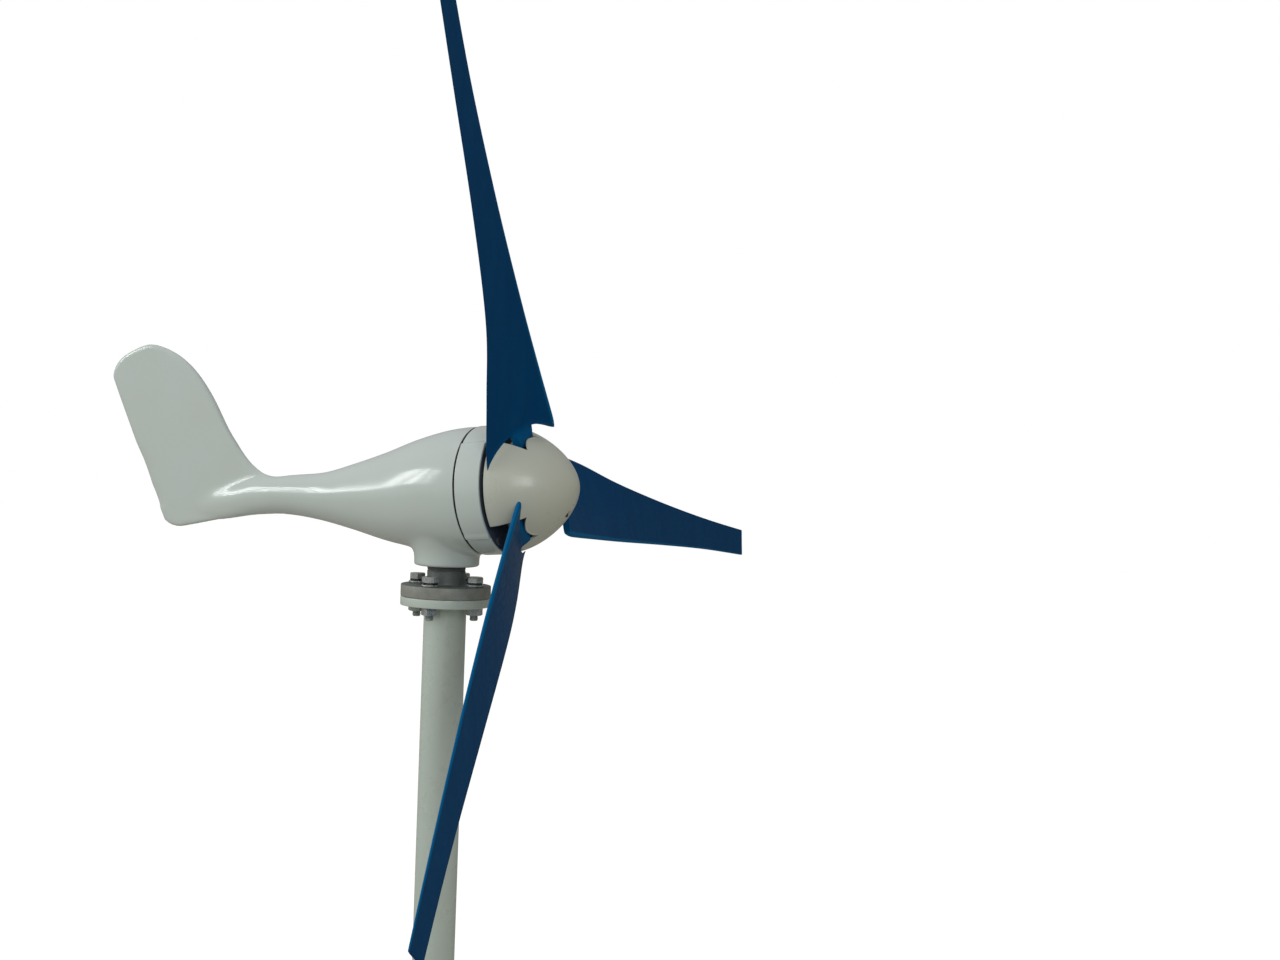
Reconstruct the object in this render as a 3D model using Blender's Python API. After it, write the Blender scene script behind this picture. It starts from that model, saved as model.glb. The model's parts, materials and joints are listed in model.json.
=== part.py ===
"""Small wind turbine on a flanged mast.

Frame: metres, +Z up, +X towards the nose, origin at the centre of the mast's foot.
The nacelle turns about Z; the rotor turns about an axis tilted nose-up through the yaw axis.
"""
import math

import bmesh
import bpy
from mathutils import Matrix, Vector

MM = 0.001
GAP = 0.3
DRILL_PHASE = 7.0
CUT_BEYOND = 5.0

# Driving dimensions, in millimetres and degrees.
MAST_HEIGHT = 1000.0
TUBE_RADIUS = 24.15
TUBE_WALL = 3.2
FLANGE_RADIUS = 51.3
MAST_FLANGE_THICKNESS = 10.0
YAW_FLANGE_THICKNESS = 13.7
BASE_FLANGE_RADIUS = 62.0
BOLT_CIRCLE_RADIUS = 37.0
BASE_BOLT_CIRCLE_RADIUS = 46.0
FLANGE_HOLE_RADIUS = 5.5
FLANGE_BOLT_RADIUS = 4.9
FLANGE_BOLT_ACROSS = 17.0
NECK_RADIUS = 21.8
COLLAR_RADIUS = 37.1
COLLAR_BOTTOM = 35.5
CABLE_BORE_RADIUS = 6.0

SLIP_RING_RADIUS = 17.0
SLIP_RING_LOW = 86.6
SLIP_RING_STEP = 4.6
SLIP_RING_HEIGHT = 3.0

AXIS_HEIGHT = 119.3
AXIS_TILT = 5.25
STATOR_TEETH = 12
STATOR_RADIUS = 59.0
SEAM_AT = 43.2
SEAM_RADIUS = 72.3
GASKET_THICKNESS = 1.8
RING_FRONT = 76.1
RING_RADIUS = 74.3
RING_STEP = 1.3
PANEL_HALF_ANGLE = 47.0
HOUSING_BORE = 60.3
COVER_RADIUS = 70.2
COVER_REAR = 71.3
COVER_FRONT = 75.3
COVER_SCREW_CIRCLE = 66.0
COVER_SCREW_ANGLE = 30.0
COVER_SCREW_HOLE = 2.7

BLADE_COUNT = 3
FIRST_BLADE_ANGLE = 21.2
BLADE_AXIS_AT = 105.5
BLADE_CONE = 2.75
BLADE_TIP_RADIUS = 578.0
BLADE_ROOT_RADIUS = 72.0
TAB_INNER_RADIUS = 30.0
TAB_HALF_WIDTH = 16.0
TAB_THICKNESS = 8.0
TAB_STEP_FRONT = 7.0
BLADE_BOLT_RADIAL = 42.0
BLADE_BOLT_SIDE = 9.0
BLADE_HOLE_RADIUS = 3.4

SPINNER_REAR = 80.5
SPINNER_LENGTH = 81.0
SPINNER_RADIUS = 71.0
SPINNER_WALL = 2.6
NOTCH_FRONT = 117.0
NOTCH_HALF_ANGLE = 18.0
NOTCH_LEAD = 1.0
SPINNER_SCREW_AT = 144.3
SPINNER_SCREW_RADIAL = 31.0
SPINNER_SCREW_ANGLE = 183.3

# (radius, leading edge offset, trailing edge offset, pitch, thickness, set-back) along a blade.
BLADE_STATIONS = [
    (36.0, 51.0, 61.0, 21.5, 8.5, 1.7),
    (62.0, 50.9, 57.8, 21.4, 8.0, 2.4),
    (130.0, 45.3, 48.1, 15.2, 6.8, 0.9),
    (210.0, 38.9, 34.2, 8.6, 5.5, 0.0),
    (330.0, 29.5, 24.8, 4.0, 4.4, 0.9),
    (460.0, 21.2, 19.1, 2.1, 3.6, 1.5),
    (578.0, 17.1, 16.4, 1.3, 2.9, 0.0),
]
CHORD_LINE_DEPTH = 0.35
# (share of the chord from the leading edge, share of the thickness towards the rear).
BLADE_SECTION = [
    (0.0, 0.35),
    (0.012, 0.62),
    (0.06, 0.88),
    (0.18, 1.0),
    (0.36, 0.97),
    (0.56, 0.75),
    (0.78, 0.42),
    (1.0, 0.10),
    (1.0, 0.0),
    (0.66, 0.03),
    (0.33, 0.04),
    (0.06, 0.02),
    (0.012, 0.13),
]

# (place along the tilted axis, centre above that axis, half height, half width, lean).
BODY_STATIONS = [
    (-352.0, -6.0, 14.0, 3.0, 0.0),
    (-330.0, -3.0, 18.0, 5.0, 0.0),
    (-300.0, -0.3, 20.0, 9.0, 0.0),
    (-262.0, 4.8, 21.8, 15.5, 0.0),
    (-228.0, 5.5, 22.4, 20.5, 0.0),
    (-200.0, 4.4, 24.0, 23.5, 0.0),
    (-162.0, 1.2, 28.6, 28.6, 0.0),
    (-120.0, -0.4, 39.0, 39.0, 0.2),
    (-76.0, -2.2, 51.5, 51.0, 0.6),
    (-35.0, -1.5, 62.6, 62.0, 1.0),
    (0.0, 0.0, 69.0, 69.0, 1.0),
    (25.0, 0.0, 72.0, 72.0, 1.0),
    (SEAM_AT, 0.0, SEAM_RADIUS, SEAM_RADIUS, 1.0),
]
CAVITY_STATIONS = [
    (-205.0, 4.4, 9.0, 9.0, 0.0),
    (-198.0, 4.3, 17.0, 17.0, 0.0),
    (-162.0, 1.2, 23.6, 23.6, 0.0),
    (-120.0, -0.4, 34.0, 34.0, 0.2),
    (-76.0, -2.2, 46.5, 46.0, 0.6),
    (-35.0, -1.5, 57.6, 57.0, 1.0),
    (0.0, 0.0, 64.0, 64.0, 1.0),
    (24.0, 0.0, 66.5, 66.5, 1.0),
    (30.0, 0.0, HOUSING_BORE, HOUSING_BORE, 1.0),
    (SEAM_AT + 5.0, 0.0, HOUSING_BORE, HOUSING_BORE, 1.0),
]
# Tail fin outline, (x, z above the flange face), clockwise from the lower rear corner.
FIN_OUTLINE = [
    (-391.0, 76.0),
    (-426.0, 149.0),
    (-460.5, 222.0),
    (-466.0, 239.0),
    (-457.0, 256.5),
    (-437.0, 269.0),
    (-414.0, 276.3),
    (-391.0, 272.3),
    (-368.0, 262.0),
    (-344.5, 243.5),
    (-321.0, 214.5),
    (-297.0, 176.0),
    (-273.5, 148.5),
    (-250.5, 131.2),
    (-230.0, 122.0),
    (-230.0, 92.0),
    (-262.0, 78.5),
    (-304.0, 71.2),
    (-345.0, 62.4),
    (-366.0, 58.9),
    (-381.5, 63.0),
]
FIN_HALF_THICKNESS = 4.0

TAU = math.radians(AXIS_TILT)
HUB_HEIGHT = MAST_HEIGHT + AXIS_HEIGHT


def clear_scene():
    for item in list(bpy.data.objects):
        bpy.data.objects.remove(item, do_unlink=True)


def material(name, colour, roughness, metallic=0.0):
    made = bpy.data.materials.get(name) or bpy.data.materials.new(name)
    made.use_nodes = True
    shader = made.node_tree.nodes["Principled BSDF"]
    shader.inputs["Base Color"].default_value = (*colour, 1.0)
    shader.inputs["Roughness"].default_value = roughness
    shader.inputs["Metallic"].default_value = metallic
    made.diffuse_color = (*colour, 1.0)
    return made


def pivot(name, tilted):
    """An empty on the yaw axis; a tilted one has +Z along the rotor axis and +X up."""
    empty = bpy.data.objects.new(name, None)
    empty.location = (0.0, 0.0, HUB_HEIGHT * MM)
    if tilted:
        empty.rotation_mode = "ZYX"
        empty.rotation_euler = (0.0, math.pi / 2.0 - TAU, math.pi)
    bpy.context.collection.objects.link(empty)
    return empty


def add_object(name, mesh, paint, parent=None, turn=0.0):
    made = bpy.data.objects.new(name, mesh)
    bpy.context.collection.objects.link(made)
    if not mesh.materials:
        mesh.materials.append(paint)
    made.parent = parent
    made.rotation_euler = (0.0, 0.0, math.radians(turn))
    return made


def finish_mesh(name, form, sharp=35.0):
    bmesh.ops.remove_doubles(form, verts=form.verts, dist=1e-6)
    bmesh.ops.recalc_face_normals(form, faces=form.faces)
    mesh = bpy.data.meshes.new(name)
    form.to_mesh(mesh)
    form.free()
    mesh.shade_smooth()
    mesh.set_sharp_from_angle(angle=math.radians(sharp))
    return mesh


def ring_point(radius, angle, height):
    turn = math.radians(angle)
    return Vector((radius * math.cos(turn), radius * math.sin(turn), height)) * MM


def turned(name, profile, segments=16, centre=(0.0, 0.0), phase=0.0):
    """A closed solid of revolution about Z from a closed loop of (radius, height)."""
    form = bmesh.new()
    rings = []
    for radius, height in profile:
        if radius <= 0.0:
            rings.append([form.verts.new(ring_point(0.0, 0.0, height))])
            continue
        ring = []
        for step in range(segments):
            point = ring_point(radius, phase + 360.0 * step / segments, height)
            ring.append(form.verts.new(point))
        rings.append(ring)
    for index, ring in enumerate(rings):
        following = rings[(index + 1) % len(rings)]
        bridge(form, ring, following)
    for vertex in form.verts:
        vertex.co.x += centre[0] * MM
        vertex.co.y += centre[1] * MM
    return finish_mesh(name, form)


def bridge(form, ring, following):
    """Faces between two rings of points, either of which may be a single point."""
    count = max(len(ring), len(following))
    if count == 1:
        return
    for step in range(count):
        here = ring[step % len(ring)]
        ahead = ring[(step + 1) % len(ring)]
        there = following[step % len(following)]
        beyond = following[(step + 1) % len(following)]
        corners = []
        for vertex in (here, ahead, beyond, there):
            if vertex not in corners:
                corners.append(vertex)
        form.faces.new(corners)


def lofted(name, loops, sharp=35.0):
    """A closed solid through loops of points with flat ends."""
    form = bmesh.new()
    rings = []
    for loop in loops:
        rings.append([form.verts.new(Vector(point) * MM) for point in loop])
    for ring, following in zip(rings, rings[1:]):
        bridge(form, ring, following)
    form.faces.new(rings[0])
    form.faces.new(list(reversed(rings[-1])))
    return finish_mesh(name, form, sharp)


def annular_prism(name, inner, outer, low, high):
    """A flat ring between two outlines that have the same number of points."""
    form = bmesh.new()
    rings = []
    for outline, height in ((inner, low), (outer, low), (outer, high), (inner, high)):
        ring = [form.verts.new(ring_point(radius, angle, height)) for radius, angle in outline]
        rings.append(ring)
    for index, ring in enumerate(rings):
        bridge(form, ring, rings[(index + 1) % 4])
    return finish_mesh(name, form)


def spline(points, steps):
    """Points on a smooth curve through the given tuples, with equal steps in each span."""
    last = len(points) - 1
    curve = []
    for span in range(last):
        near = [points[min(max(span + shift, 0), last)] for shift in (-1, 0, 1, 2)]
        for step in range(steps):
            curve.append(curve_point(near, step / steps))
    curve.append(tuple(points[-1]))
    return curve


def curve_point(near, share):
    before, start, end, after = near
    values = []
    for a, b, c, d in zip(before, start, end, after):
        cubic = -a + 3.0 * b - 3.0 * c + d
        square = 2.0 * a - 5.0 * b + 4.0 * c - d
        values.append(b + 0.5 * share * (c - a + share * (square + share * cubic)))
    return tuple(values)


def boolean(target, cutter, operation):
    change = target.modifiers.new(cutter.name, "BOOLEAN")
    change.operation = operation
    change.object = cutter
    change.solver = "EXACT"
    cutter.hide_render = True
    cutter.display_type = "WIRE"


def baked(name, source, sharp=35.0):
    """The mesh of an object with its modifiers applied; the object itself is removed."""
    bpy.context.view_layer.update()
    graph = bpy.context.evaluated_depsgraph_get()
    mesh = bpy.data.meshes.new_from_object(source.evaluated_get(graph))
    mesh.name = name
    tools = [change.object for change in source.modifiers if change.type == "BOOLEAN"]
    bpy.data.objects.remove(source, do_unlink=True)
    for tool in tools:
        bpy.data.objects.remove(tool, do_unlink=True)
    form = bmesh.new()
    form.from_mesh(mesh)
    bmesh.ops.remove_doubles(form, verts=form.verts, dist=2e-6)
    bmesh.ops.dissolve_degenerate(form, dist=1e-6, edges=form.edges)
    form.to_mesh(mesh)
    form.free()
    mesh.materials.clear()
    mesh.shade_smooth()
    mesh.set_sharp_from_angle(angle=math.radians(sharp))
    return mesh


def loose(name, mesh, location=(0.0, 0.0, 0.0)):
    """A working object that takes part in a Boolean and is removed afterwards."""
    made = bpy.data.objects.new(name, mesh)
    made.location = [value * MM for value in location]
    bpy.context.collection.objects.link(made)
    return made


def cut_holes(name, mesh, holes, sharp=35.0):
    """The mesh with round holes cut along Z: (x, y, radius, low, high) each."""
    body = loose(name + "_blank", mesh)
    for index, (x, y, radius, low, high) in enumerate(holes):
        profile = [(0.0, high), (radius, high), (radius, low), (0.0, low)]
        drill = loose(f"{name}_drill_{index}", turned("drill", profile, 8, (x, y), DRILL_PHASE))
        boolean(body, drill, "DIFFERENCE")
    return baked(name, body, sharp)


def around(radius, count, start=0.0):
    places = []
    for index in range(count):
        turn = math.radians(start + 360.0 * index / count)
        places.append((radius * math.cos(turn), radius * math.sin(turn)))
    return places


def hexagon_loops(name, levels, closed):
    """A six-sided solid from levels of (corner radius, height), with or without a bore."""
    form = bmesh.new()
    rings = []
    for radius, height in levels:
        ring = [form.verts.new(ring_point(radius, 60.0 * step, height)) for step in range(6)]
        rings.append(ring)
    for ring, following in zip(rings, rings[1:]):
        bridge(form, ring, following)
    if closed:
        form.faces.new(rings[0])
        form.faces.new(list(reversed(rings[-1])))
    else:
        bridge(form, rings[-1], rings[0])
    return finish_mesh(name, form)


def hexagon_bolt(name, shank, length, across, head):
    """Bolt with its bearing face at height 0, head above and shank below."""
    corner = across / math.sqrt(3.0)
    levels = [(shank, -length), (shank, 0.0), (corner, 0.0), (corner, head)]
    return hexagon_loops(name, levels, True)


def hexagon_nut(name, bore, across, height):
    """Nut on Z from height 0 upwards."""
    corner = across / math.sqrt(3.0)
    levels = [(bore, 0.0), (corner, 0.0), (corner, height), (bore, height)]
    return hexagon_loops(name, levels, False)


def bearing(name, bore, outer, width):
    """Ball bearing as one ring, dished between its races on both faces."""
    middle = (bore + outer) / 2.0
    deep = 1.6
    profile = [
        (bore, width),
        (middle, width - deep),
        (outer, width),
        (outer, 0.0),
        (middle, deep),
        (bore, 0.0),
    ]
    return turned(name, profile)


# ---------------------------------------------------------------- mast and flange joint

def mast_tube(paint):
    inner = TUBE_RADIUS - TUBE_WALL
    profile = [
        (inner, 0.5),
        (inner, MAST_HEIGHT - 1.0),
        (TUBE_RADIUS, MAST_HEIGHT - 1.0),
        (TUBE_RADIUS, 0.5),
    ]
    add_object("mast_tube", turned("mast_tube", profile, 24), paint)


def flange(name, radius, low, high, weld_low, weld_high, circle, paint):
    """Slip-on flange with its weld fillet against the tube."""
    bore = TUBE_RADIUS + GAP
    weld = bore + 2.2
    chamfer = 0.8
    if weld_low < low:
        profile = [
            (bore, weld_low),
            (bore, high),
            (radius - chamfer, high),
            (radius, high - chamfer),
            (radius, low + chamfer),
            (radius - chamfer, low),
            (weld, low),
        ]
    else:
        profile = [
            (bore, low),
            (bore, weld_high),
            (weld, high),
            (radius - chamfer, high),
            (radius, high - chamfer),
            (radius, low + chamfer),
            (radius - chamfer, low),
        ]
    drilled = (FLANGE_HOLE_RADIUS, low - CUT_BEYOND, high + CUT_BEYOND)
    holes = [(x, y, *drilled) for x, y in around(circle, 4)]
    mesh = cut_holes(name, turned(name, profile, 24), holes)
    add_object(name, mesh, paint)


def yaw_spindle(paint):
    base = MAST_HEIGHT + GAP
    top = MAST_HEIGHT + YAW_FLANGE_THICKNESS
    profile = [
        (CABLE_BORE_RADIUS, base),
        (CABLE_BORE_RADIUS, MAST_HEIGHT + 101.0),
        (12.0, MAST_HEIGHT + 101.0),
        (12.0, MAST_HEIGHT + 55.0),
        (14.5, MAST_HEIGHT + 55.0),
        (14.5, MAST_HEIGHT + 37.0),
        (19.0, MAST_HEIGHT + 37.0),
        (19.0, MAST_HEIGHT + 34.9),
        (NECK_RADIUS, MAST_HEIGHT + 34.9),
        (NECK_RADIUS, top),
        (FLANGE_RADIUS - 1.0, top),
        (FLANGE_RADIUS, top - 1.0),
        (FLANGE_RADIUS, base + 1.0),
        (FLANGE_RADIUS - 1.0, base),
    ]
    drilled = (FLANGE_HOLE_RADIUS, base - CUT_BEYOND, top + CUT_BEYOND)
    holes = [(x, y, *drilled) for x, y in around(BOLT_CIRCLE_RADIUS, 4)]
    mesh = cut_holes("yaw_spindle", turned("yaw_spindle", profile, 24), holes)
    add_object("yaw_spindle", mesh, paint)


def flange_fasteners(steel):
    """Four bolts through both flanges, each with a pair of washers above and a nut below."""
    top = MAST_HEIGHT + YAW_FLANGE_THICKNESS
    bottom = MAST_HEIGHT - MAST_FLANGE_THICKNESS
    washer_height = 4.2
    head_height = 6.4
    nut_height = 8.4
    bore = FLANGE_BOLT_RADIUS + 0.5
    outer = 10.0
    head_seat = top + washer_height + 2.0 * GAP
    length = head_seat - bottom + nut_height + 6.6
    bolt = hexagon_bolt("flange_bolt", FLANGE_BOLT_RADIUS, length, FLANGE_BOLT_ACROSS, head_height)
    ring = [(bore, 0.0), (bore, washer_height), (outer, washer_height), (outer, 0.0)]
    washer = turned("flange_washer", ring, 12)
    nut = hexagon_nut("flange_nut", FLANGE_BOLT_RADIUS + 1.2, FLANGE_BOLT_ACROSS, nut_height)
    for index, (x, y) in enumerate(around(BOLT_CIRCLE_RADIUS, 4)):
        number = index + 1
        turn = 15.0 + 25.0 * index
        places = (
            ("flange_bolt", bolt, head_seat),
            ("flange_washer", washer, top + GAP),
            ("flange_nut", nut, bottom - GAP - nut_height),
        )
        for name, mesh, height in places:
            piece = add_object(f"{name}_{number}", mesh, steel, turn=turn)
            piece.location = (x * MM, y * MM, height * MM)


def slip_rings(plastic, copper, steel):
    """Insulating sleeve with three contact rings on the spindle, above its retaining ring."""
    sleeve_low = MAST_HEIGHT + 86.0
    sleeve_high = MAST_HEIGHT + 99.5
    bore = 12.5
    profile = [(bore, sleeve_low), (bore, sleeve_high), (15.0, sleeve_high), (15.0, sleeve_low)]
    add_object("slip_ring_sleeve", turned("slip_ring_sleeve", profile), plastic)
    for index in range(3):
        low = MAST_HEIGHT + SLIP_RING_LOW + SLIP_RING_STEP * index
        high = low + SLIP_RING_HEIGHT
        ring = [(15.3, low), (15.3, high), (SLIP_RING_RADIUS, high), (SLIP_RING_RADIUS, low)]
        number = index + 1
        add_object(f"slip_ring_{number}", turned("slip_ring", ring), copper)
    low = MAST_HEIGHT + 79.4
    ring = [(12.5, low), (12.5, low + 1.5), (15.2, low + 1.5), (15.2, low)]
    add_object("yaw_retaining_ring", turned("yaw_retaining_ring", ring, 12), steel)


# ---------------------------------------------------------------- nacelle

def body_loops(stations, steps, segments):
    """Oval sections along the tilted axis; lean turns them square to that axis."""
    loops = []
    for along, rise, half_height, half_width, lean in spline(stations, steps):
        tilt = TAU * lean
        up = Vector((-math.sin(tilt), 0.0, math.cos(tilt)))
        centre = Vector((along * math.cos(TAU), 0.0, along * math.sin(TAU) + rise))
        loop = []
        for step in range(segments):
            turn = 2.0 * math.pi * step / segments
            side = Vector((0.0, half_width * math.sin(turn), 0.0))
            loop.append(centre + up * half_height * math.cos(turn) + side)
        loops.append(loop)
    return loops


def fin_blank():
    """The flat tail fin, with its edge rounded by three stacked outlines."""
    outline = FIN_OUTLINE
    middle = Vector((-350.0, 0.0, 160.0))
    loops = []
    for share, side in ((0.0, -1.0), (1.0, -0.35), (1.0, 0.35), (0.0, 1.0)):
        shrink = 2.6 * (1.0 - share)
        loop = []
        count = len(outline)
        for index, (x, z) in enumerate(outline):
            before = Vector(outline[index - 1])
            after = Vector(outline[(index + 1) % count])
            along = (after - before).normalized()
            inward = Vector((along.y, 0.0, -along.x)) * shrink
            if inward.dot(middle - Vector((x, 0.0, z))) < 0.0:
                inward.negate()
            point = Vector((x, side * FIN_HALF_THICKNESS, z - AXIS_HEIGHT)) + inward
            loop.append(point)
        loops.append(loop)
    return lofted("fin_blank", loops)


def collar_profile():
    """The upright collar under the body, flared where it meets the belly."""
    low = COLLAR_BOTTOM - AXIS_HEIGHT
    return [
        (0.0, -20.0),
        (30.0, -20.0),
        (44.0, -42.0),
        (46.5, -51.0),
        (42.5, -58.0),
        (39.6, -64.0),
        (37.8, -69.5),
        (COLLAR_RADIUS, -75.0),
        (COLLAR_RADIUS, low + 2.6),
        (COLLAR_RADIUS - 0.8, low + 0.8),
        (COLLAR_RADIUS - 2.6, low),
        (0.0, low),
    ]


def nacelle_shell(paint, parent):
    """One hollow casting: body, collar with the yaw bearing seats, boom and tail fin."""
    body = loose("body_blank", lofted("body_blank", body_loops(BODY_STATIONS, 2, 20)))
    fin = loose("fin_blank", fin_blank())
    collar = loose("collar_blank", turned("collar_blank", collar_profile(), 20))
    boolean(body, fin, "UNION")
    boolean(body, collar, "UNION")
    outside = loose("outside", baked("outside", body))

    hollow = loose("hollow", lofted("hollow", body_loops(CAVITY_STATIONS, 1, 18)))
    post = [(0.0, -33.5), (29.5, -33.5), (29.5, -60.0), (42.0, -72.0), (42.0, -90.0), (0.0, -90.0)]
    boolean(hollow, loose("post", turned("post", post, 16)), "DIFFERENCE")
    boolean(outside, loose("cavity", baked("cavity", hollow)), "DIFFERENCE")

    seats = [
        (0.0, -20.0),
        (23.8, -20.0),
        (23.8, -53.1),
        (18.5, -53.1),
        (18.5, -68.5),
        (27.8, -68.5),
        (27.8, -100.0),
        (0.0, -100.0),
    ]
    boolean(outside, loose("seats", turned("seats", seats, 16)), "DIFFERENCE")
    shell = baked("nacelle_shell", outside)

    tilted = Matrix.Rotation(math.pi / 2.0 - TAU, 4, "Y") @ Matrix.Rotation(math.pi, 4, "Z")
    shell.transform(tilted.inverted())
    shell = cut_holes("nacelle_shell", shell, cover_screw_holes(33.0, SEAM_AT + CUT_BEYOND), 40.0)
    shell.transform(tilted)
    add_object("nacelle_shell", shell, paint, parent)


def cover_screw_holes(low, high):
    places = around(COVER_SCREW_CIRCLE, 3, COVER_SCREW_ANGLE)
    return [(x, y, COVER_SCREW_HOLE, low, high) for x, y in places]


def seam_gasket(rubber, frame):
    low = SEAM_AT + GAP
    high = low + GASKET_THICKNESS
    outer = SEAM_RADIUS - 0.6
    profile = [(HOUSING_BORE, low), (HOUSING_BORE, high), (outer, high), (outer, low)]
    ring = turned("seam_gasket", profile, 24)
    mesh = cut_holes("seam_gasket", ring, cover_screw_holes(low - CUT_BEYOND, high + CUT_BEYOND))
    add_object("seam_gasket", mesh, rubber, frame)


def ring_outline():
    """Outline of the front ring: a raised panel on each side, lower at the top and bottom."""
    outline = []
    low = RING_RADIUS - RING_STEP
    blend = 1.5
    for centre in (90.0, 270.0):
        for share in range(9):
            angle = centre - PANEL_HALF_ANGLE + 2.0 * PANEL_HALF_ANGLE * share / 8.0
            outline.append((RING_RADIUS, angle))
        start = centre + PANEL_HALF_ANGLE + blend
        span = 180.0 - 2.0 * (PANEL_HALF_ANGLE + blend)
        for share in range(9):
            outline.append((low, start + span * share / 8.0))
    return outline


def front_ring(paint, frame):
    """Stator housing ring with a stepped bore that takes the front cover."""
    outline = ring_outline()
    low = SEAM_AT + GASKET_THICKNESS + 2.0 * GAP
    levels = [
        (HOUSING_BORE, low, False),
        (0.0, low, True),
        (0.0, RING_FRONT, True),
        (COVER_RADIUS + 0.8, RING_FRONT, False),
        (COVER_RADIUS + 0.8, COVER_REAR - GAP, False),
        (HOUSING_BORE, COVER_REAR - GAP, False),
    ]
    form = bmesh.new()
    rings = []
    for radius, height, outside in levels:
        ring = []
        for reach, angle in outline:
            distance = reach if outside else radius
            ring.append(form.verts.new(ring_point(distance, angle, height)))
        rings.append(ring)
    for index, ring in enumerate(rings):
        bridge(form, ring, rings[(index + 1) % len(rings)])
    blank = finish_mesh("front_ring", form)
    mesh = cut_holes("front_ring", blank, cover_screw_holes(low - CUT_BEYOND, RING_FRONT + CUT_BEYOND))
    add_object("front_ring", mesh, paint, frame)


def front_cover(paint, frame):
    profile = [
        (23.8, 67.5),
        (29.0, 67.5),
        (29.0, COVER_REAR),
        (COVER_RADIUS, COVER_REAR),
        (COVER_RADIUS, COVER_FRONT - 1.0),
        (COVER_RADIUS - 1.0, COVER_FRONT),
        (30.0, COVER_FRONT),
        (28.0, 81.0),
        (23.8, 81.0),
    ]
    holes = cover_screw_holes(COVER_REAR - 10.0, COVER_FRONT + 10.0)
    mesh = cut_holes("front_cover", turned("front_cover", profile, 24), holes)
    add_object("front_cover", mesh, paint, frame)


def cover_screws(steel, frame):
    screw = hexagon_bolt("cover_screw", 2.3, 38.0, 7.4, 3.0)
    for index, (x, y) in enumerate(around(COVER_SCREW_CIRCLE, 3, COVER_SCREW_ANGLE)):
        piece = add_object(f"cover_screw_{index + 1}", screw, steel, frame)
        piece.location = (x * MM, y * MM, (COVER_FRONT + GAP) * MM)


def bearing_bracket(metal, frame):
    """Spider disc that carries the rear rotor bearing."""
    profile = [
        (21.8, 19.0),
        (25.8, 19.0),
        (25.8, 31.0),
        (STATOR_RADIUS, 31.0),
        (STATOR_RADIUS, 35.0),
        (16.0, 35.0),
        (16.0, 32.6),
        (21.8, 32.6),
    ]
    holes = [(x, y, 8.0, 20.0, 50.0) for x, y in around(42.0, 6)]
    mesh = cut_holes("bearing_bracket", turned("bearing_bracket", profile, 18), holes)
    add_object("bearing_bracket", mesh, metal, frame)


def main_bearings(steel, frame):
    rear = add_object("rear_bearing", bearing("rear_bearing", 10.0, 21.0, 12.0), steel, frame)
    rear.location.z = 20.0 * MM
    mesh = bearing("front_bearing", 12.5, 23.5, 12.0)
    front = add_object("front_bearing", mesh, steel, frame)
    front.location.z = 68.5 * MM


def yaw_bearings(steel, rubber, frame):
    """Two bearings and a seal between the spindle and the nacelle, all on the yaw axis."""
    pieces = (
        ("yaw_bearing_lower", bearing("yaw_bearing_lower", 15.0, 27.5, 13.0), 37.3),
        ("yaw_bearing_upper", bearing("yaw_bearing_upper", 12.5, 23.5, 12.0), 66.5),
    )
    for name, mesh, height in pieces:
        piece = add_object(name, mesh, steel, frame)
        piece.location.z = (height - AXIS_HEIGHT) * MM
    low = 35.7 - AXIS_HEIGHT
    ring = [(19.8, low), (19.8, low + 1.2), (27.5, low + 1.2), (27.5, low)]
    add_object("yaw_seal", turned("yaw_seal", ring), rubber, frame)


def stator_core(iron, frame):
    """Back iron with twelve inward teeth."""
    inner = []
    outer = []
    for tooth in range(STATOR_TEETH):
        centre = 360.0 * tooth / STATOR_TEETH
        for radius, shift in ((54.6, -15.0), (54.6, -7.0), (39.6, -7.0), (39.6, 7.0), (54.6, 7.0)):
            inner.append((radius, centre + shift))
            outer.append((STATOR_RADIUS, centre + shift))
    mesh = annular_prism("stator_core", inner, outer, 41.0, 65.0)
    add_object("stator_core", mesh, iron, frame)


def stator_winding(copper, frame):
    """Potted winding: front and rear end turns joined by bars between the teeth."""
    inner, outer = 43.0, 54.0
    heights = [36.5, 40.6, 65.4, 69.5]
    angles = []
    for tooth in range(STATOR_TEETH):
        centre = 360.0 * tooth / STATOR_TEETH
        angles.extend((centre - 8.2, centre + 8.2))
    count = len(angles)
    form = bmesh.new()
    grid = {}
    for side, radius in enumerate((inner, outer)):
        for column, angle in enumerate(angles):
            for level, height in enumerate(heights):
                grid[side, column, level] = form.verts.new(ring_point(radius, angle, height))

    def filled(column, level):
        if level < 0 or level > 2:
            return False
        return level != 1 or column % 2 == 1

    def face(*corners):
        form.faces.new([grid[side, column % count, level] for side, column, level in corners])

    for column in range(count):
        after = column + 1
        for level in range(3):
            if not filled(column % count, level):
                continue
            up = level + 1
            for side in (0, 1):
                face((side, column, level), (side, after, level), (side, after, up), (side, column, up))
            if not filled(column % count, level - 1):
                face((0, column, level), (1, column, level), (1, after, level), (0, after, level))
            if not filled(column % count, level + 1):
                face((0, column, up), (1, column, up), (1, after, up), (0, after, up))
            if not filled((column - 1) % count, level):
                face((0, column, level), (1, column, level), (1, column, up), (0, column, up))
            if not filled(after % count, level):
                face((0, after, level), (1, after, level), (1, after, up), (0, after, up))
    add_object("stator_winding", finish_mesh("stator_winding", form), copper, frame)


def block(name, low, high):
    """A plain block from its lowest to its highest corner."""
    form = bmesh.new()
    bmesh.ops.create_cube(form, size=1.0)
    for vertex in form.verts:
        for axis in range(3):
            share = vertex.co[axis] + 0.5
            vertex.co[axis] = (low[axis] + share * (high[axis] - low[axis])) * MM
    return finish_mesh(name, form)


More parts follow.
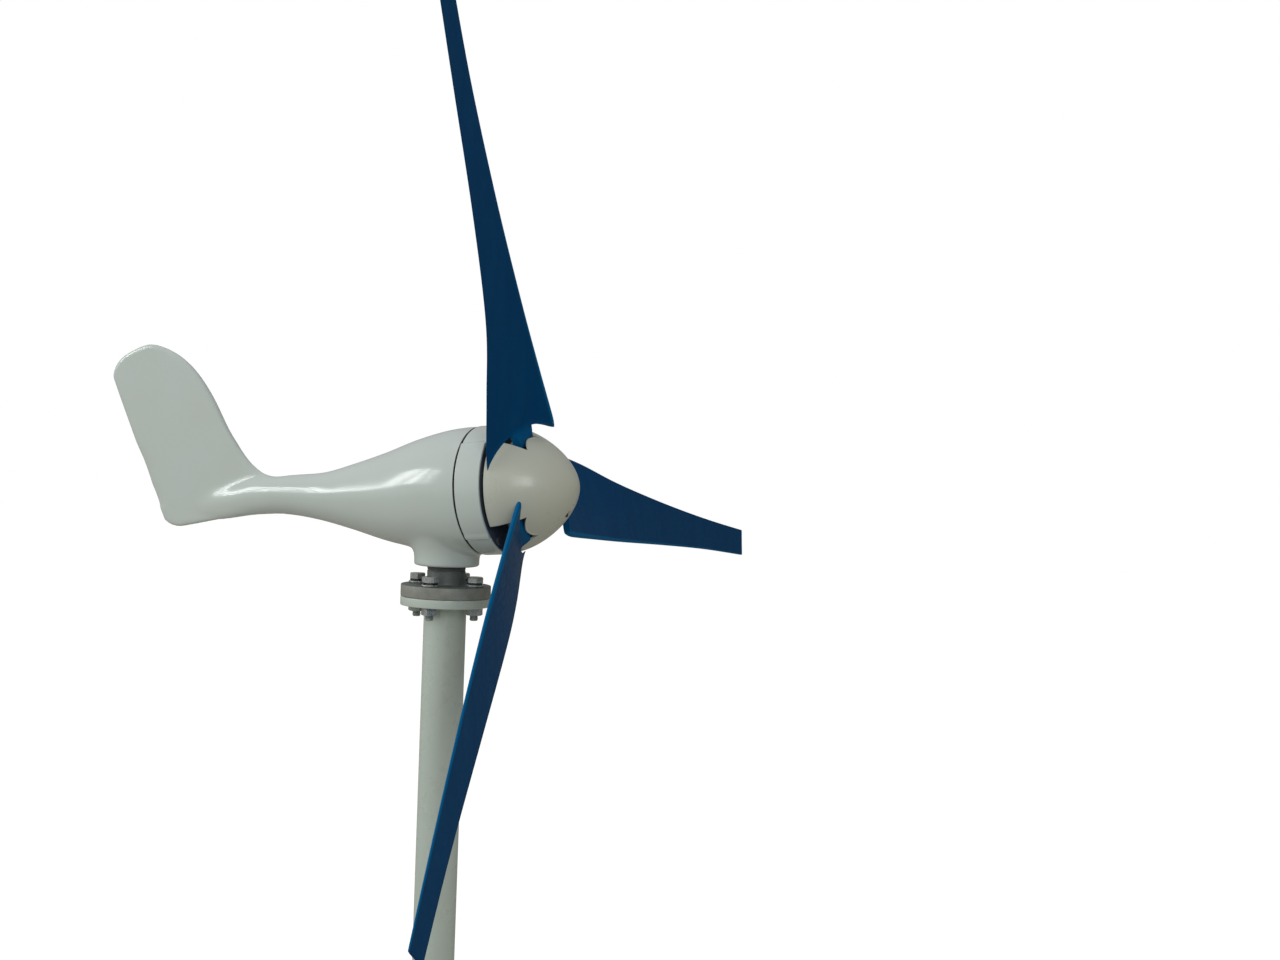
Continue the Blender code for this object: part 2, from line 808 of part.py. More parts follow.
def brushes(plastic, carbon, frame):
    """Brush holder behind the slip rings, with one carbon brush for each ring."""
    floor = 86.1 - AXIS_HEIGHT
    low = (-38.0, -7.0, floor)
    high = (-23.0, 7.0, 100.5 - AXIS_HEIGHT)
    add_object("brush_holder", block("brush_holder", low, high), plastic, frame)
    for index in range(3):
        height = SLIP_RING_LOW + SLIP_RING_STEP * index - AXIS_HEIGHT
        start = (-22.7, -2.5, height + 0.3)
        end = (-SLIP_RING_RADIUS - GAP, 2.5, height + SLIP_RING_HEIGHT - 0.3)
        number = index + 1
        add_object(f"brush_{number}", block("brush", start, end), carbon, frame)


# ---------------------------------------------------------------- rotor

def rotor_shaft(steel, frame):
    profile = [
        (0.0, 14.0),
        (9.7, 14.0),
        (9.7, 37.0),
        (12.2, 37.0),
        (12.2, 82.3),
        (9.7, 82.3),
        (9.7, 107.9),
        (7.7, 107.9),
        (7.7, 127.0),
        (6.9, 128.0),
        (0.0, 128.0),
    ]
    add_object("rotor_shaft", turned("rotor_shaft", list(reversed(profile))), steel, frame)


def alternator_rotor(iron, magnet, frame):
    ring = [(12.5, 40.0), (12.5, 64.0), (34.0, 64.0), (34.0, 40.0)]
    add_object("rotor_core", turned("rotor_core", ring, 18), iron, frame)
    ring = [(34.3, 41.0), (34.3, 63.0), (38.6, 63.0), (38.6, 41.0)]
    add_object("magnet_ring", turned("magnet_ring", ring, 18), magnet, frame)


def blade_bolt_places():
    places = []
    for index in range(BLADE_COUNT):
        turn = math.radians(FIRST_BLADE_ANGLE + 360.0 * index / BLADE_COUNT)
        for side in (-BLADE_BOLT_SIDE, BLADE_BOLT_SIDE):
            x = BLADE_BOLT_RADIAL * math.cos(turn) - side * math.sin(turn)
            y = BLADE_BOLT_RADIAL * math.sin(turn) + side * math.cos(turn)
            places.append((x, y))
    return places


def hub_plates(dark, steel, frame):
    """Hub plate behind the blade tabs and clamp plate in front of them."""
    tab_rear = BLADE_AXIS_AT - TAB_THICKNESS / 2.0
    tab_front = BLADE_AXIS_AT + TAB_THICKNESS / 2.0
    rear = tab_rear - GAP
    profile = [(10.0, 82.6), (10.0, rear), (58.0, rear), (58.0, rear - 7.0), (22.0, rear - 7.0)]
    profile.append((22.0, 82.6))
    holes = [(x, y, BLADE_HOLE_RADIUS, 70.0, 120.0) for x, y in blade_bolt_places()]
    mesh = cut_holes("hub_plate", turned("hub_plate", profile, 20), holes)
    add_object("hub_plate", mesh, dark, frame)
    front = tab_front + GAP
    x, y = spinner_screw_place()
    holes.append((x, y, 1.9, 70.0, 120.0))
    profile = [(8.0, front), (8.0, front + 4.0), (50.0, front + 4.0), (50.0, front)]
    mesh = cut_holes("clamp_plate", turned("clamp_plate", profile, 20), holes)
    add_object("clamp_plate", mesh, steel, frame)
    return front + 4.0 + GAP


def blade_bolts(steel, frame, seat):
    bolt = hexagon_bolt("blade_bolt", 3.0, 28.0, 10.0, 4.0)
    for index, (x, y) in enumerate(blade_bolt_places()):
        piece = add_object(f"blade_bolt_{index + 1}", bolt, steel, frame)
        piece.location = (x * MM, y * MM, seat * MM)


def nose_fittings(steel, aluminium, frame, seat):
    """Cup that carries the spinner's nose, held on the shaft by the hub nut."""
    cup = [
        (8.0, seat),
        (8.0, seat + 2.4),
        (18.5, seat + 2.4),
        (18.5, 148.5),
        (21.8, 148.5),
        (21.8, seat + 4.0),
        (27.0, seat + 2.0),
        (27.0, seat),
    ]
    add_object("spinner_carrier", turned("spinner_carrier", cup), aluminium, frame)
    nut = add_object("hub_nut", hexagon_nut("hub_nut", 9.3, 24.0, 10.0), steel, frame)
    nut.location.z = (seat + 2.4 + GAP) * MM


def spinner_screw_place():
    turn = math.radians(SPINNER_SCREW_ANGLE)
    return SPINNER_SCREW_RADIAL * math.cos(turn), SPINNER_SCREW_RADIAL * math.sin(turn)


def spinner_reach(along):
    """Outer radius of the spinner at a place along the rotor axis."""
    share = min(max((along - SPINNER_REAR) / SPINNER_LENGTH, 0.0), 1.0)
    return SPINNER_RADIUS * (1.0 - share ** 1.5) ** 0.6


def spinner(paint, steel, frame):
    """Rounded cone with three notches, open to the rear, that the blade tabs pass through."""
    outside = []
    inside = []
    count = 7
    for step in range(count + 1):
        share = math.sin(0.5 * math.pi * step / count)
        along = SPINNER_REAR + SPINNER_LENGTH * share
        outside.append((spinner_reach(along), along))
        inner_along = SPINNER_REAR + (SPINNER_LENGTH - SPINNER_WALL) * share
        inner = spinner_reach(SPINNER_REAR + SPINNER_LENGTH * share) - SPINNER_WALL
        if step < count:
            inside.append((max(inner, 3.0), inner_along))
    inside.append((0.0, SPINNER_REAR + SPINNER_LENGTH - SPINNER_WALL))
    profile = outside + list(reversed(inside))
    body = loose("spinner_blank", turned("spinner_blank", profile, 24))
    for index in range(BLADE_COUNT):
        middle = FIRST_BLADE_ANGLE + 360.0 * index / BLADE_COUNT + NOTCH_LEAD
        boolean(body, notch_cutter(f"notch_{index}", middle), "DIFFERENCE")
    x, y = spinner_screw_place()
    drill = [
        (0.0, 160.0),
        (3.6, 160.0),
        (3.6, SPINNER_SCREW_AT),
        (2.1, SPINNER_SCREW_AT),
        (2.1, 130.0),
        (0.0, 130.0),
    ]
    recess = turned("spinner_drill", drill, 8, (x, y), DRILL_PHASE)
    boolean(body, loose("spinner_drill", recess), "DIFFERENCE")
    add_object("spinner", baked("spinner", body, 30.0), paint, frame)

    screw = hexagon_bolt("spinner_screw", 1.6, 34.0, 5.2, 1.6)
    piece = add_object("spinner_screw", screw, steel, frame)
    piece.location = (x * MM, y * MM, (SPINNER_SCREW_AT + GAP) * MM)


def notch_cutter(name, middle):
    """A wedge that clears the tab: open to the rear and closed towards the nose."""
    half = NOTCH_HALF_ANGLE
    inner = 30.0
    outer = SPINNER_RADIUS + 20.0
    corners = ((inner, -half), (outer, -half), (outer, 0.0), (outer, half), (inner, half))
    loops = []
    for height in (SPINNER_REAR - CUT_BEYOND, NOTCH_FRONT):
        loops.append([ring_point(radius, middle + turn, height) / MM for radius, turn in corners])
    return loose(name, lofted(name, loops))


def blade_loops():
    loops = []
    cone = math.radians(BLADE_CONE)
    for radius, leading, trailing, pitch, thickness, back in BLADE_STATIONS:
        turn = math.radians(pitch)
        axis = Vector((radius * math.cos(cone), 0.0, BLADE_AXIS_AT + radius * math.sin(cone)))
        chord_way = Vector((0.0, -math.cos(turn), math.sin(turn)))
        back_way = Vector((0.0, -math.sin(turn), -math.cos(turn)))
        loop = []
        for along, depth in BLADE_SECTION:
            offset = leading - (leading + trailing) * along
            shift = back + thickness * (depth - CHORD_LINE_DEPTH)
            loop.append(axis + chord_way * offset + back_way * shift)
        loops.append(loop)
    return loops


def tab_loops():
    """The mounting tab: flat on the hub, then thicker, turning into the blade's pitch."""
    loops = []
    half = TAB_THICKNESS / 2.0
    rise = 2.0 * math.sin(math.radians(BLADE_CONE))
    bend = 59.0
    stations = (
        (TAB_INNER_RADIUS, 0.0, half),
        (51.5, 0.0, half),
        (54.5, 0.0, TAB_STEP_FRONT),
        (61.0, 0.0, TAB_STEP_FRONT),
        (69.0, 12.0, half),
        (80.0, 20.5, half / 2.0),
    )
    for radius, pitch, front in stations:
        turn = math.radians(pitch)
        lift = max(radius - bend, 0.0) * rise
        loop = []
        for side, deep in ((-1.0, -half), (1.0, -half), (1.0, front), (-1.0, front)):
            y = side * TAB_HALF_WIDTH * math.cos(turn) - deep * math.sin(turn)
            z = -side * TAB_HALF_WIDTH * math.sin(turn) + deep * math.cos(turn)
            loop.append(Vector((radius, y, BLADE_AXIS_AT + lift + z)))
        loops.append(loop)
    return loops


def blades(plastic, frame):
    """Three alike blades: twisted aerofoil trimmed clear of the spinner, plus a bolted tab."""
    wing = loose("wing", lofted("wing", blade_loops(), 50.0))
    trim_profile = [(0.0, 170.0), (BLADE_ROOT_RADIUS, 170.0), (BLADE_ROOT_RADIUS, 60.0), (0.0, 60.0)]
    trim = loose("trim", turned("trim", trim_profile, 40))
    boolean(wing, trim, "DIFFERENCE")
    trimmed = loose("trimmed", baked("trimmed", wing, 50.0))
    boolean(trimmed, loose("tab", lofted("tab", tab_loops())), "UNION")
    mesh = baked("blade", trimmed, 50.0)
    sides = (-BLADE_BOLT_SIDE, BLADE_BOLT_SIDE)
    holes = [(BLADE_BOLT_RADIAL, side, BLADE_HOLE_RADIUS, 70.0, 140.0) for side in sides]
    mesh = cut_holes("blade", mesh, holes, 50.0)
    for index in range(BLADE_COUNT):
        turn = FIRST_BLADE_ANGLE + 360.0 * index / BLADE_COUNT
        add_object(f"blade_{index + 1}", mesh, plastic, frame, turn)


def main():
    clear_scene()
    white = material("white_paint", (0.49, 0.53, 0.50), 0.22)
    mast_white = material("mast_paint", (0.46, 0.50, 0.46), 0.30)
    cream = material("spinner_paint", (0.42, 0.43, 0.37), 0.34)
    blue = material("blade_plastic", (0.006, 0.03, 0.075), 0.42)
    dark = material("dark_hub_paint", (0.012, 0.016, 0.02), 0.5)
    spindle_steel = material("spindle_steel", (0.12, 0.13, 0.125), 0.45, 0.8)
    zinc = material("zinc_steel", (0.55, 0.57, 0.56), 0.32, 1.0)
    steel = material("bearing_steel", (0.6, 0.6, 0.6), 0.25, 1.0)
    iron = material("lamination_iron", (0.16, 0.16, 0.17), 0.5, 0.7)
    magnet = material("magnet_nickel", (0.45, 0.44, 0.42), 0.3, 1.0)
    copper = material("copper", (0.7, 0.33, 0.16), 0.35, 1.0)
    rubber = material("black_rubber", (0.015, 0.015, 0.015), 0.75)
    plastic = material("black_plastic", (0.03, 0.03, 0.03), 0.5)
    carbon = material("brush_carbon", (0.05, 0.05, 0.05), 0.7)
    aluminium = material("cast_aluminium", (0.5, 0.5, 0.5), 0.45, 1.0)

    mast_tube(mast_white)
    low = MAST_HEIGHT - MAST_FLANGE_THICKNESS
    flange("mast_top_flange", FLANGE_RADIUS, low, MAST_HEIGHT, low - 4.0, 0.0,
           BOLT_CIRCLE_RADIUS, mast_white)
    flange("base_flange", BASE_FLANGE_RADIUS, 0.0, 12.0, 0.0, 16.0,
           BASE_BOLT_CIRCLE_RADIUS, mast_white)
    yaw_spindle(spindle_steel)
    flange_fasteners(zinc)
    slip_rings(plastic, copper, steel)

    nacelle_upright = pivot("nacelle_pivot", False)
    nacelle_axis = pivot("nacelle_axis", True)
    nacelle_axis.parent = nacelle_upright
    nacelle_axis.location = (0.0, 0.0, 0.0)
    nacelle_shell(white, nacelle_upright)
    seam_gasket(rubber, nacelle_axis)
    front_ring(white, nacelle_axis)
    front_cover(dark, nacelle_axis)
    cover_screws(dark, nacelle_axis)
    bearing_bracket(aluminium, nacelle_axis)
    main_bearings(steel, nacelle_axis)
    yaw_bearings(steel, rubber, nacelle_upright)
    stator_core(iron, nacelle_axis)
    stator_winding(copper, nacelle_axis)
    brushes(plastic, carbon, nacelle_upright)

    rotor_axis = pivot("rotor_pivot", True)
    rotor_axis.parent = nacelle_upright
    rotor_axis.location = (0.0, 0.0, 0.0)
    rotor_shaft(steel, rotor_axis)
    alternator_rotor(iron, magnet, rotor_axis)
    seat = hub_plates(dark, zinc, rotor_axis)
    blade_bolts(zinc, rotor_axis, seat)
    nose_fittings(zinc, aluminium, rotor_axis, seat)
    blades(blue, rotor_axis)
    spinner(cream, dark, rotor_axis)


main()
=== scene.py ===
"""Looks of the small wind turbine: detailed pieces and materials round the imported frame.

Lengths are in millimetres in the functions and metres in the scene. Pieces on the nacelle's
and rotor's axis are built with +Z along that axis and +X up, then placed by AXIS_PLACE.
"""

import json
import math

import bmesh
import bpy
from mathutils import Matrix, Vector


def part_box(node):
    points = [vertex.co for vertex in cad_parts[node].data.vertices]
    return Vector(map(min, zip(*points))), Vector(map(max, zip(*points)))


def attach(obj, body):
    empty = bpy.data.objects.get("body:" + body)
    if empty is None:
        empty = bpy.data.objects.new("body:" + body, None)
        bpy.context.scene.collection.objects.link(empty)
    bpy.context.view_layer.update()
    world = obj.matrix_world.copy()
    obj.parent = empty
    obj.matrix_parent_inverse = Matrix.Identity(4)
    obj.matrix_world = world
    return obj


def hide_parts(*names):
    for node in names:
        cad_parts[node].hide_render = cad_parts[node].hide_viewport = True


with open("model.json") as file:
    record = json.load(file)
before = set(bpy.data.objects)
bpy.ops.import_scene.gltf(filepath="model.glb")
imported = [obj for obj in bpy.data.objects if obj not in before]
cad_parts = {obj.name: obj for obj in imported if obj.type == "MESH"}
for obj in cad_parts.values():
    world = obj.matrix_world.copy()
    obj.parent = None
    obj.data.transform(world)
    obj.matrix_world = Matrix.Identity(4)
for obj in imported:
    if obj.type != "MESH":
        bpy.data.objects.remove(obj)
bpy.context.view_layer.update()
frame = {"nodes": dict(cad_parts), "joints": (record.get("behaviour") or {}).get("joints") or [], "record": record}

MM = 0.001


# -------- places read from the frame

def top_of(node):
    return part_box(node)[1][2] / MM


def bottom_of(node):
    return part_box(node)[0][2] / MM


def radius_of(node):
    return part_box(node)[1][0] / MM


SPIN = next(joint for joint in frame["joints"] if joint["name"] == "rotor_spin")
HUB_HEIGHT = SPIN["pos_m"][2] / MM
AXIS = Vector(SPIN["axis"]).normalized()
TILT = math.atan2(AXIS.z, AXIS.x)
AXIS_TURN = Matrix.Rotation(math.pi / 2.0 - TILT, 4, "Y") @ Matrix.Rotation(math.pi, 4, "Z")
AXIS_PLACE = Matrix.Translation((0.0, 0.0, HUB_HEIGHT * MM)) @ AXIS_TURN

# Mast, flanges and yaw spindle; AXIS_HEIGHT is the rotor axis above the flanges' joint.
FLANGE_FACE = top_of("mast_top_flange")
TUBE_RADIUS = radius_of("mast_tube")
TUBE_WALL = 3.2
FLANGE_RADIUS = radius_of("mast_top_flange")
FLANGE_BOTTOM = FLANGE_FACE - 10.0
YAW_FLANGE_TOP = FLANGE_FACE + 13.7
NECK_RADIUS = 21.8
BOLT_CIRCLE = 37.0
BOLT_HOLE = 5.5
FOOT_CIRCLE = 46.0
FOOT_THICKNESS = 12.0
FITTED_GAP = 0.3
AXIS_HEIGHT = HUB_HEIGHT - FLANGE_FACE

# Nacelle, in places along the rotor axis; COLLAR_BOTTOM is above the flanges' joint.
SEAM_AT = 43.2
SEAM_EASE = 0.5
SEAM_RADIUS = 72.3
RING_REAR = SEAM_AT + 2.4
RING_FRONT = 76.1
RING_RADIUS = 74.3
RING_STEP = 1.3
PANEL_HALF = 47.0
HOUSING_BORE = 60.3
COLLAR_BOTTOM = 35.5
COLLAR_RADIUS = 37.1
COVER_RADIUS = 70.2
COVER_REAR = 71.3
COVER_FRONT = 75.3
SCREW_CIRCLE = 66.0
SCREW_START = 30.0
SCREW_HOLE = 2.7

# Rotor; the edge band below is the strip along the leading edge that gets a painted highlight, as shares of the
# chord from the leading edge.
BLADE_ANGLES = (21.2, 141.2, 261.2)
BLADE_AXIS_AT = 105.5
BLADE_CONE = math.radians(2.75)
CHORD_LINE_DEPTH = 0.35
ROOT_RADIUS = 72.0
TAB_HALF = 16.0
TAB_HALF_DEEP = 4.0
ROOT_BOLT_AT = 42.0
ROOT_BOLT_SIDES = (-9.0, 9.0)
ROOT_BOLT_HOLE = 3.4
SPINNER_REAR = 80.5
SPINNER_LENGTH = 81.0
SPINNER_RADIUS = 71.0
SPINNER_WALL = 2.6
SPINNER_SCREW_OUT = 31.0
SPINNER_SCREW_TURN = 183.3
SPINNER_SCREW_SEAT = 144.3
NOTCH_HALF = 18.0
NOTCH_TURN = 1.0
NOTCH_MIDDLE = 113.5
NOTCH_DEEPER = 6.0
# Painted highlight: the leading edge's strip is coloured brighter blue between these shares.
PAINTED_LIGHT_BAND = (0.035, 0.06)

# (radius, leading edge offset, trailing edge offset, pitch, thickness, set-back) along a blade.
BLADE_STATIONS = [
    (36.0, 51.0, 61.0, 21.5, 8.5, 1.7),
    (62.0, 50.9, 57.8, 21.4, 8.0, 2.4),
    (130.0, 45.3, 48.1, 15.2, 6.8, 0.9),
    (210.0, 38.9, 34.2, 8.6, 5.5, 0.0),
    (330.0, 29.5, 24.8, 4.0, 4.4, 0.9),
    (460.0, 21.2, 19.1, 2.1, 3.6, 1.5),
    (578.0, 17.1, 16.4, 1.3, 2.9, 0.0),
]

# (place along the tilted axis, centre above that axis, half height, half width, lean).
BODY_STATIONS = [
    (-352.0, -6.0, 14.0, 3.0, 0.0),
    (-330.0, -3.0, 18.0, 5.0, 0.0),
    (-300.0, -0.3, 20.0, 9.0, 0.0),
    (-262.0, 4.8, 21.8, 15.5, 0.0),
    (-228.0, 5.5, 22.4, 20.5, 0.0),
    (-200.0, 4.4, 24.0, 23.5, 0.0),
    (-162.0, 1.2, 28.6, 28.6, 0.0),
    (-120.0, -0.4, 39.0, 39.0, 0.2),
    (-76.0, -2.2, 51.5, 51.0, 0.6),
    (-35.0, -1.5, 62.6, 62.0, 1.0),
    (0.0, 0.0, 69.0, 69.0, 1.0),
    (25.0, 0.0, 72.0, 72.0, 1.0),
    (SEAM_AT, 0.0, SEAM_RADIUS, SEAM_RADIUS, 1.0),
    (SEAM_AT + 12.0, 0.0, SEAM_RADIUS, SEAM_RADIUS, 1.0),
]
FIN_HALF = 4.0
# Tail fin outline, (x, z above the flanges' joint), clockwise from the lower rear corner.
FIN_OUTLINE = [
    (-391.0, 76.0),
    (-426.0, 149.0),
    (-460.5, 222.0),
    (-466.0, 239.0),
    (-457.0, 256.5),
    (-437.0, 269.0),
    (-414.0, 276.3),
    (-391.0, 272.3),
    (-368.0, 262.0),
    (-344.5, 243.5),
    (-321.0, 214.5),
    (-297.0, 176.0),
    (-273.5, 148.5),
    (-250.5, 131.2),
    (-230.0, 122.0),
    (-230.0, 92.0),
    (-262.0, 78.5),
    (-304.0, 71.2),
    (-345.0, 62.4),
    (-366.0, 58.9),
    (-381.5, 63.0),
]


# -------- mesh helpers

def limited(share):
    return min(max(share, 0.0), 1.0)


def ring_point(radius, degrees, height):
    turn = math.radians(degrees)
    return Vector((radius * math.cos(turn), radius * math.sin(turn), height))


def circle(radius, height, segments):
    return [ring_point(radius, 360.0 * step / segments, height) for step in range(segments)]


def curve_point(near, share):
    """A point between the second and third of four tuples, on the curve through them."""
    values = []
    for a, b, c, d in zip(*near):
        cubic = -a + 3.0 * b - 3.0 * c + d
        square = 2.0 * a - 5.0 * b + 4.0 * c - d
        values.append(b + 0.5 * share * (c - a + share * (square + share * cubic)))
    return tuple(values)


def spline(points, steps, closed=False):
    """Points on a smooth curve through the given tuples, with equal steps in each span."""
    count = len(points)
    curve = []
    for span in range(count if closed else count - 1):
        places = [span + shift for shift in (-1, 0, 1, 2)]
        if closed:
            near = [points[place % count] for place in places]
        else:
            near = [points[min(max(place, 0), count - 1)] for place in places]
        for step in range(steps):
            curve.append(curve_point(near, step / steps))
    if not closed:
        curve.append(tuple(points[-1]))
    return curve


def bridge(form, ring, following):
    """Faces between two rings; either may be a single point."""
    count = max(len(ring), len(following))
    if count == 1:
        return
    for step in range(count):
        corners = []
        for vertex in (
            ring[step % len(ring)],
            ring[(step + 1) % len(ring)],
            following[(step + 1) % len(following)],
            following[step % len(following)],
        ):
            if vertex not in corners:
                corners.append(vertex)
        form.faces.new(corners)


def to_mesh(name, form, sharp=40.0):
    bmesh.ops.remove_doubles(form, verts=form.verts, dist=1e-6)
    bmesh.ops.recalc_face_normals(form, faces=form.faces)
    mesh = bpy.data.meshes.new(name)
    form.to_mesh(mesh)
    form.free()
    mesh.shade_smooth()
    mesh.set_sharp_from_angle(angle=math.radians(sharp))
    return mesh


def rings_mesh(name, loops, ends="flat", sharp=40.0):
    """Skin through loops of points in millimetres; its ends are flat faces or joined up."""
    form = bmesh.new()
    rings = [[form.verts.new(Vector(point) * MM) for point in loop] for loop in loops]
    for ring, following in zip(rings, rings[1:]):
        bridge(form, ring, following)
    if ends == "joined":
        bridge(form, rings[-1], rings[0])
    else:
        for ring in (rings[0], list(reversed(rings[-1]))):
            if len(ring) > 2:
                form.faces.new(ring)
    return to_mesh(name, form, sharp)


def rounded(profile, radius, steps=3):
    """A closed profile of (radius, height) with its corners rounded off by small arcs."""
    result = []
    count = len(profile)
    for index, point in enumerate(profile):
        corner = Vector(point)
        before = Vector(profile[index - 1]) - corner
        after = Vector(profile[(index + 1) % count]) - corner
        reach = min(radius, before.length * 0.45, after.length * 0.45)
        if corner.x <= 0.0 or reach < 0.02 or before.angle(after) > math.radians(168.0):
            result.append(tuple(corner))
            continue
        start = corner + before.normalized() * reach
        end = corner + after.normalized() * reach
        for step in range(steps + 1):
            share = step / steps
            bend = start.lerp(corner, share).lerp(corner.lerp(end, share), share)
            result.append(tuple(bend))
    return result


def turned(name, profile, segments=96, soften=0.4, sharp=40.0):
    """A solid of revolution about Z from a closed loop of (radius, height)."""
    loops = []
    for radius, height in rounded(profile, soften) if soften else profile:
        if radius <= 0.0:
            loops.append([(0.0, 0.0, height)])
        else:
            loops.append(circle(radius, height, segments))
    return rings_mesh(name, loops, "joined", sharp)


def loose(name, data):
    made = bpy.data.objects.new(name, data)
    bpy.context.collection.objects.link(made)
    return made


def applied(source, sharp=None):
    """The object's mesh with its modifiers applied; its cutters are removed with it."""
    bpy.context.view_layer.update()
    graph = bpy.context.evaluated_depsgraph_get()
    mesh = bpy.data.meshes.new_from_object(source.evaluated_get(graph))
    tools = [change.object for change in source.modifiers if change.type == "BOOLEAN"]
    for item in [source] + tools:
        bpy.data.objects.remove(item, do_unlink=True)
    if sharp is not None:
        mesh.shade_smooth()
        mesh.set_sharp_from_angle(angle=math.radians(sharp))
    return mesh


def boolean(target, cutter, operation="DIFFERENCE"):
    change = target.modifiers.new(cutter.name, "BOOLEAN")
    change.operation = operation
    change.object = cutter
    change.solver = "MANIFOLD"


def cut(name, mesh, cutters, sharp=40.0):
    body = loose(name + "_blank", mesh)
    for index, cutter in enumerate(cutters):
        boolean(body, loose(f"{name}_cutter_{index}", cutter))
    return applied(body, sharp)


def drill(x, y, radius, low, high, segments=32):
    profile = [(0.0, high), (radius, high), (radius, low), (0.0, low)]
    mesh = turned("drill", profile, segments, 0.0)
    mesh.transform(Matrix.Translation((x * MM, y * MM, 0.0)))
    return mesh


def around(radius, count, start=0.0):
    turns = [math.radians(start + 360.0 * index / count) for index in range(count)]
    return [(radius * math.cos(turn), radius * math.sin(turn)) for turn in turns]


def piece(name, mesh, body, finish, nodes=()):
    """A finished piece: its mesh, its material, the body it rides on and what it replaces."""
    made = loose(name, mesh)
    mesh.materials.clear()
    mesh.materials.append(finish)
    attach(made, body)
    if nodes:
        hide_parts(*nodes)


# -------- materials

def start_material(name, colour, roughness, metallic=0.0, coat=0.0):
    made = bpy.data.materials.new(name)
    made.use_nodes = True
    tree = made.node_tree
    shader = tree.nodes["Principled BSDF"]
    shader.inputs["Base Color"].default_value = (*colour, 1.0)
    shader.inputs["Roughness"].default_value = roughness
    shader.inputs["Metallic"].default_value = metallic
    shader.inputs["Coat Weight"].default_value = coat
    shader.inputs["Coat Roughness"].default_value = 0.12
    return made, tree, shader


def node(tree, kind, **values):
    """A new node; each value is a socket to link from, an input's value or a setting."""
    made = tree.nodes.new(kind)
    for key, value in values.items():
        if isinstance(value, bpy.types.NodeSocket):
            tree.links.new(value, made.inputs[key])
        elif key in made.inputs:
            made.inputs[key].default_value = value
        else:
            setattr(made, key, value)
    return made


def coordinates(tree, scale=(1.0, 1.0, 1.0)):
    """Object coordinates in metres, stretched by scale."""
    source = node(tree, "ShaderNodeTexCoord")
    mapping = node(tree, "ShaderNodeMapping", Vector=source.outputs["Object"], Scale=scale)
    return mapping.outputs["Vector"]


def noise(tree, vector, scale, detail, roughness):
    values = {"Vector": vector, "Scale": scale, "Detail": detail, "Roughness": roughness}
    return node(tree, "ShaderNodeTexNoise", **values).outputs["Fac"]


def ramp(tree, source, stops):
    """A colour ramp from (place, colour or grey level) stops."""
    made = node(tree, "ShaderNodeValToRGB", Fac=source)
    elements = made.color_ramp.elements
    while len(elements) < len(stops):
        elements.new(0.5)
    for element, (place, value) in zip(elements, stops):
        element.position = place
        element.color = (*value, 1.0) if isinstance(value, tuple) else (value, value, value, 1.0)
    return made.outputs["Color"]


def mix(tree, share, first, second):
    """Mix of two colours, each a colour or a socket, by the socket share."""
    made = node(tree, "ShaderNodeMix", data_type="RGBA", Factor=share)
    for socket, value in ((made.inputs[6], first), (made.inputs[7], second)):
        if isinstance(value, bpy.types.NodeSocket):
            tree.links.new(value, socket)
        else:
            socket.default_value = (*value, 1.0)
    return made.outputs[2]


def bump(tree, shader, height, strength, distance):
    made = node(tree, "ShaderNodeBump", Height=height, Strength=strength, Distance=distance)
    tree.links.new(made.outputs["Normal"], shader.inputs["Normal"])


def paint(name, colour, warm, roughness, peel=0.10, coat=0.35, grime=0.5):
    """Sprayed gloss paint: orange peel, faint dust specks, and warmer grime in broad patches."""
    made, tree, shader = start_material(name, colour, roughness, coat=coat)
    vector = coordinates(tree)
    patches = ramp(tree, noise(tree, vector, 9.0, 4.0, 0.6), [(0.35, 0.0), (0.72, grime)])
    tint = mix(tree, patches, colour, warm)
    specks = ramp(tree, noise(tree, vector, 420.0, 2.0, 0.7), [(0.70, 0.0), (0.78, 0.35)])
    dark = tuple(value * 0.55 for value in colour)
    tree.links.new(mix(tree, specks, tint, dark), shader.inputs["Base Color"])
    stops = [(0.3, roughness * 0.75), (0.7, roughness * 1.4)]
    wear = ramp(tree, noise(tree, vector, 30.0, 5.0, 0.6), stops)
    tree.links.new(wear, shader.inputs["Roughness"])
    bump(tree, shader, noise(tree, vector, 260.0, 2.0, 0.5), peel, 0.0006)
    return made


def blade_plastic(name):
    """Injection-moulded blue plastic with faint flow marks; a painted highlight makes the leading edge's strip and
    the blade root near the hub a brighter blue.
    """
    deep = (0.0003, 0.053, 0.162)
    light = (0.0004, 0.066, 0.190)
    bright = (0.0003, 0.125, 0.315)
    dusty = (0.014, 0.088, 0.135)
    made, tree, shader = start_material(name, deep, 0.42)
    shader.inputs["Specular IOR Level"].default_value = 0.05
    along = coordinates(tree, (0.5, 3.0, 0.5))
    flow = ramp(tree, noise(tree, along, 16.0, 4.0, 0.6), [(0.3, 0.0), (0.75, 1.0)])
    tint = mix(tree, flow, deep, light)
    # Painted highlight: the stored share turns the leading edge's strip and the root a brighter blue.
    edge = node(tree, "ShaderNodeAttribute", attribute_name="painted_edge_light")
    tint = mix(tree, edge.outputs["Fac"], tint, bright)
    fine = coordinates(tree)
    dust = ramp(tree, noise(tree, fine, 45.0, 6.0, 0.65), [(0.50, 0.0), (0.9, 0.25)])
    tint = mix(tree, dust, tint, dusty)
    tree.links.new(tint, shader.inputs["Base Color"])
    scuffs = ramp(tree, noise(tree, fine, 160.0, 4.0, 0.7), [(0.35, 0.36), (0.75, 0.52)])
    tree.links.new(scuffs, shader.inputs["Roughness"])
    bump(tree, shader, noise(tree, fine, 900.0, 2.0, 0.5), 0.08, 0.0003)
    return made


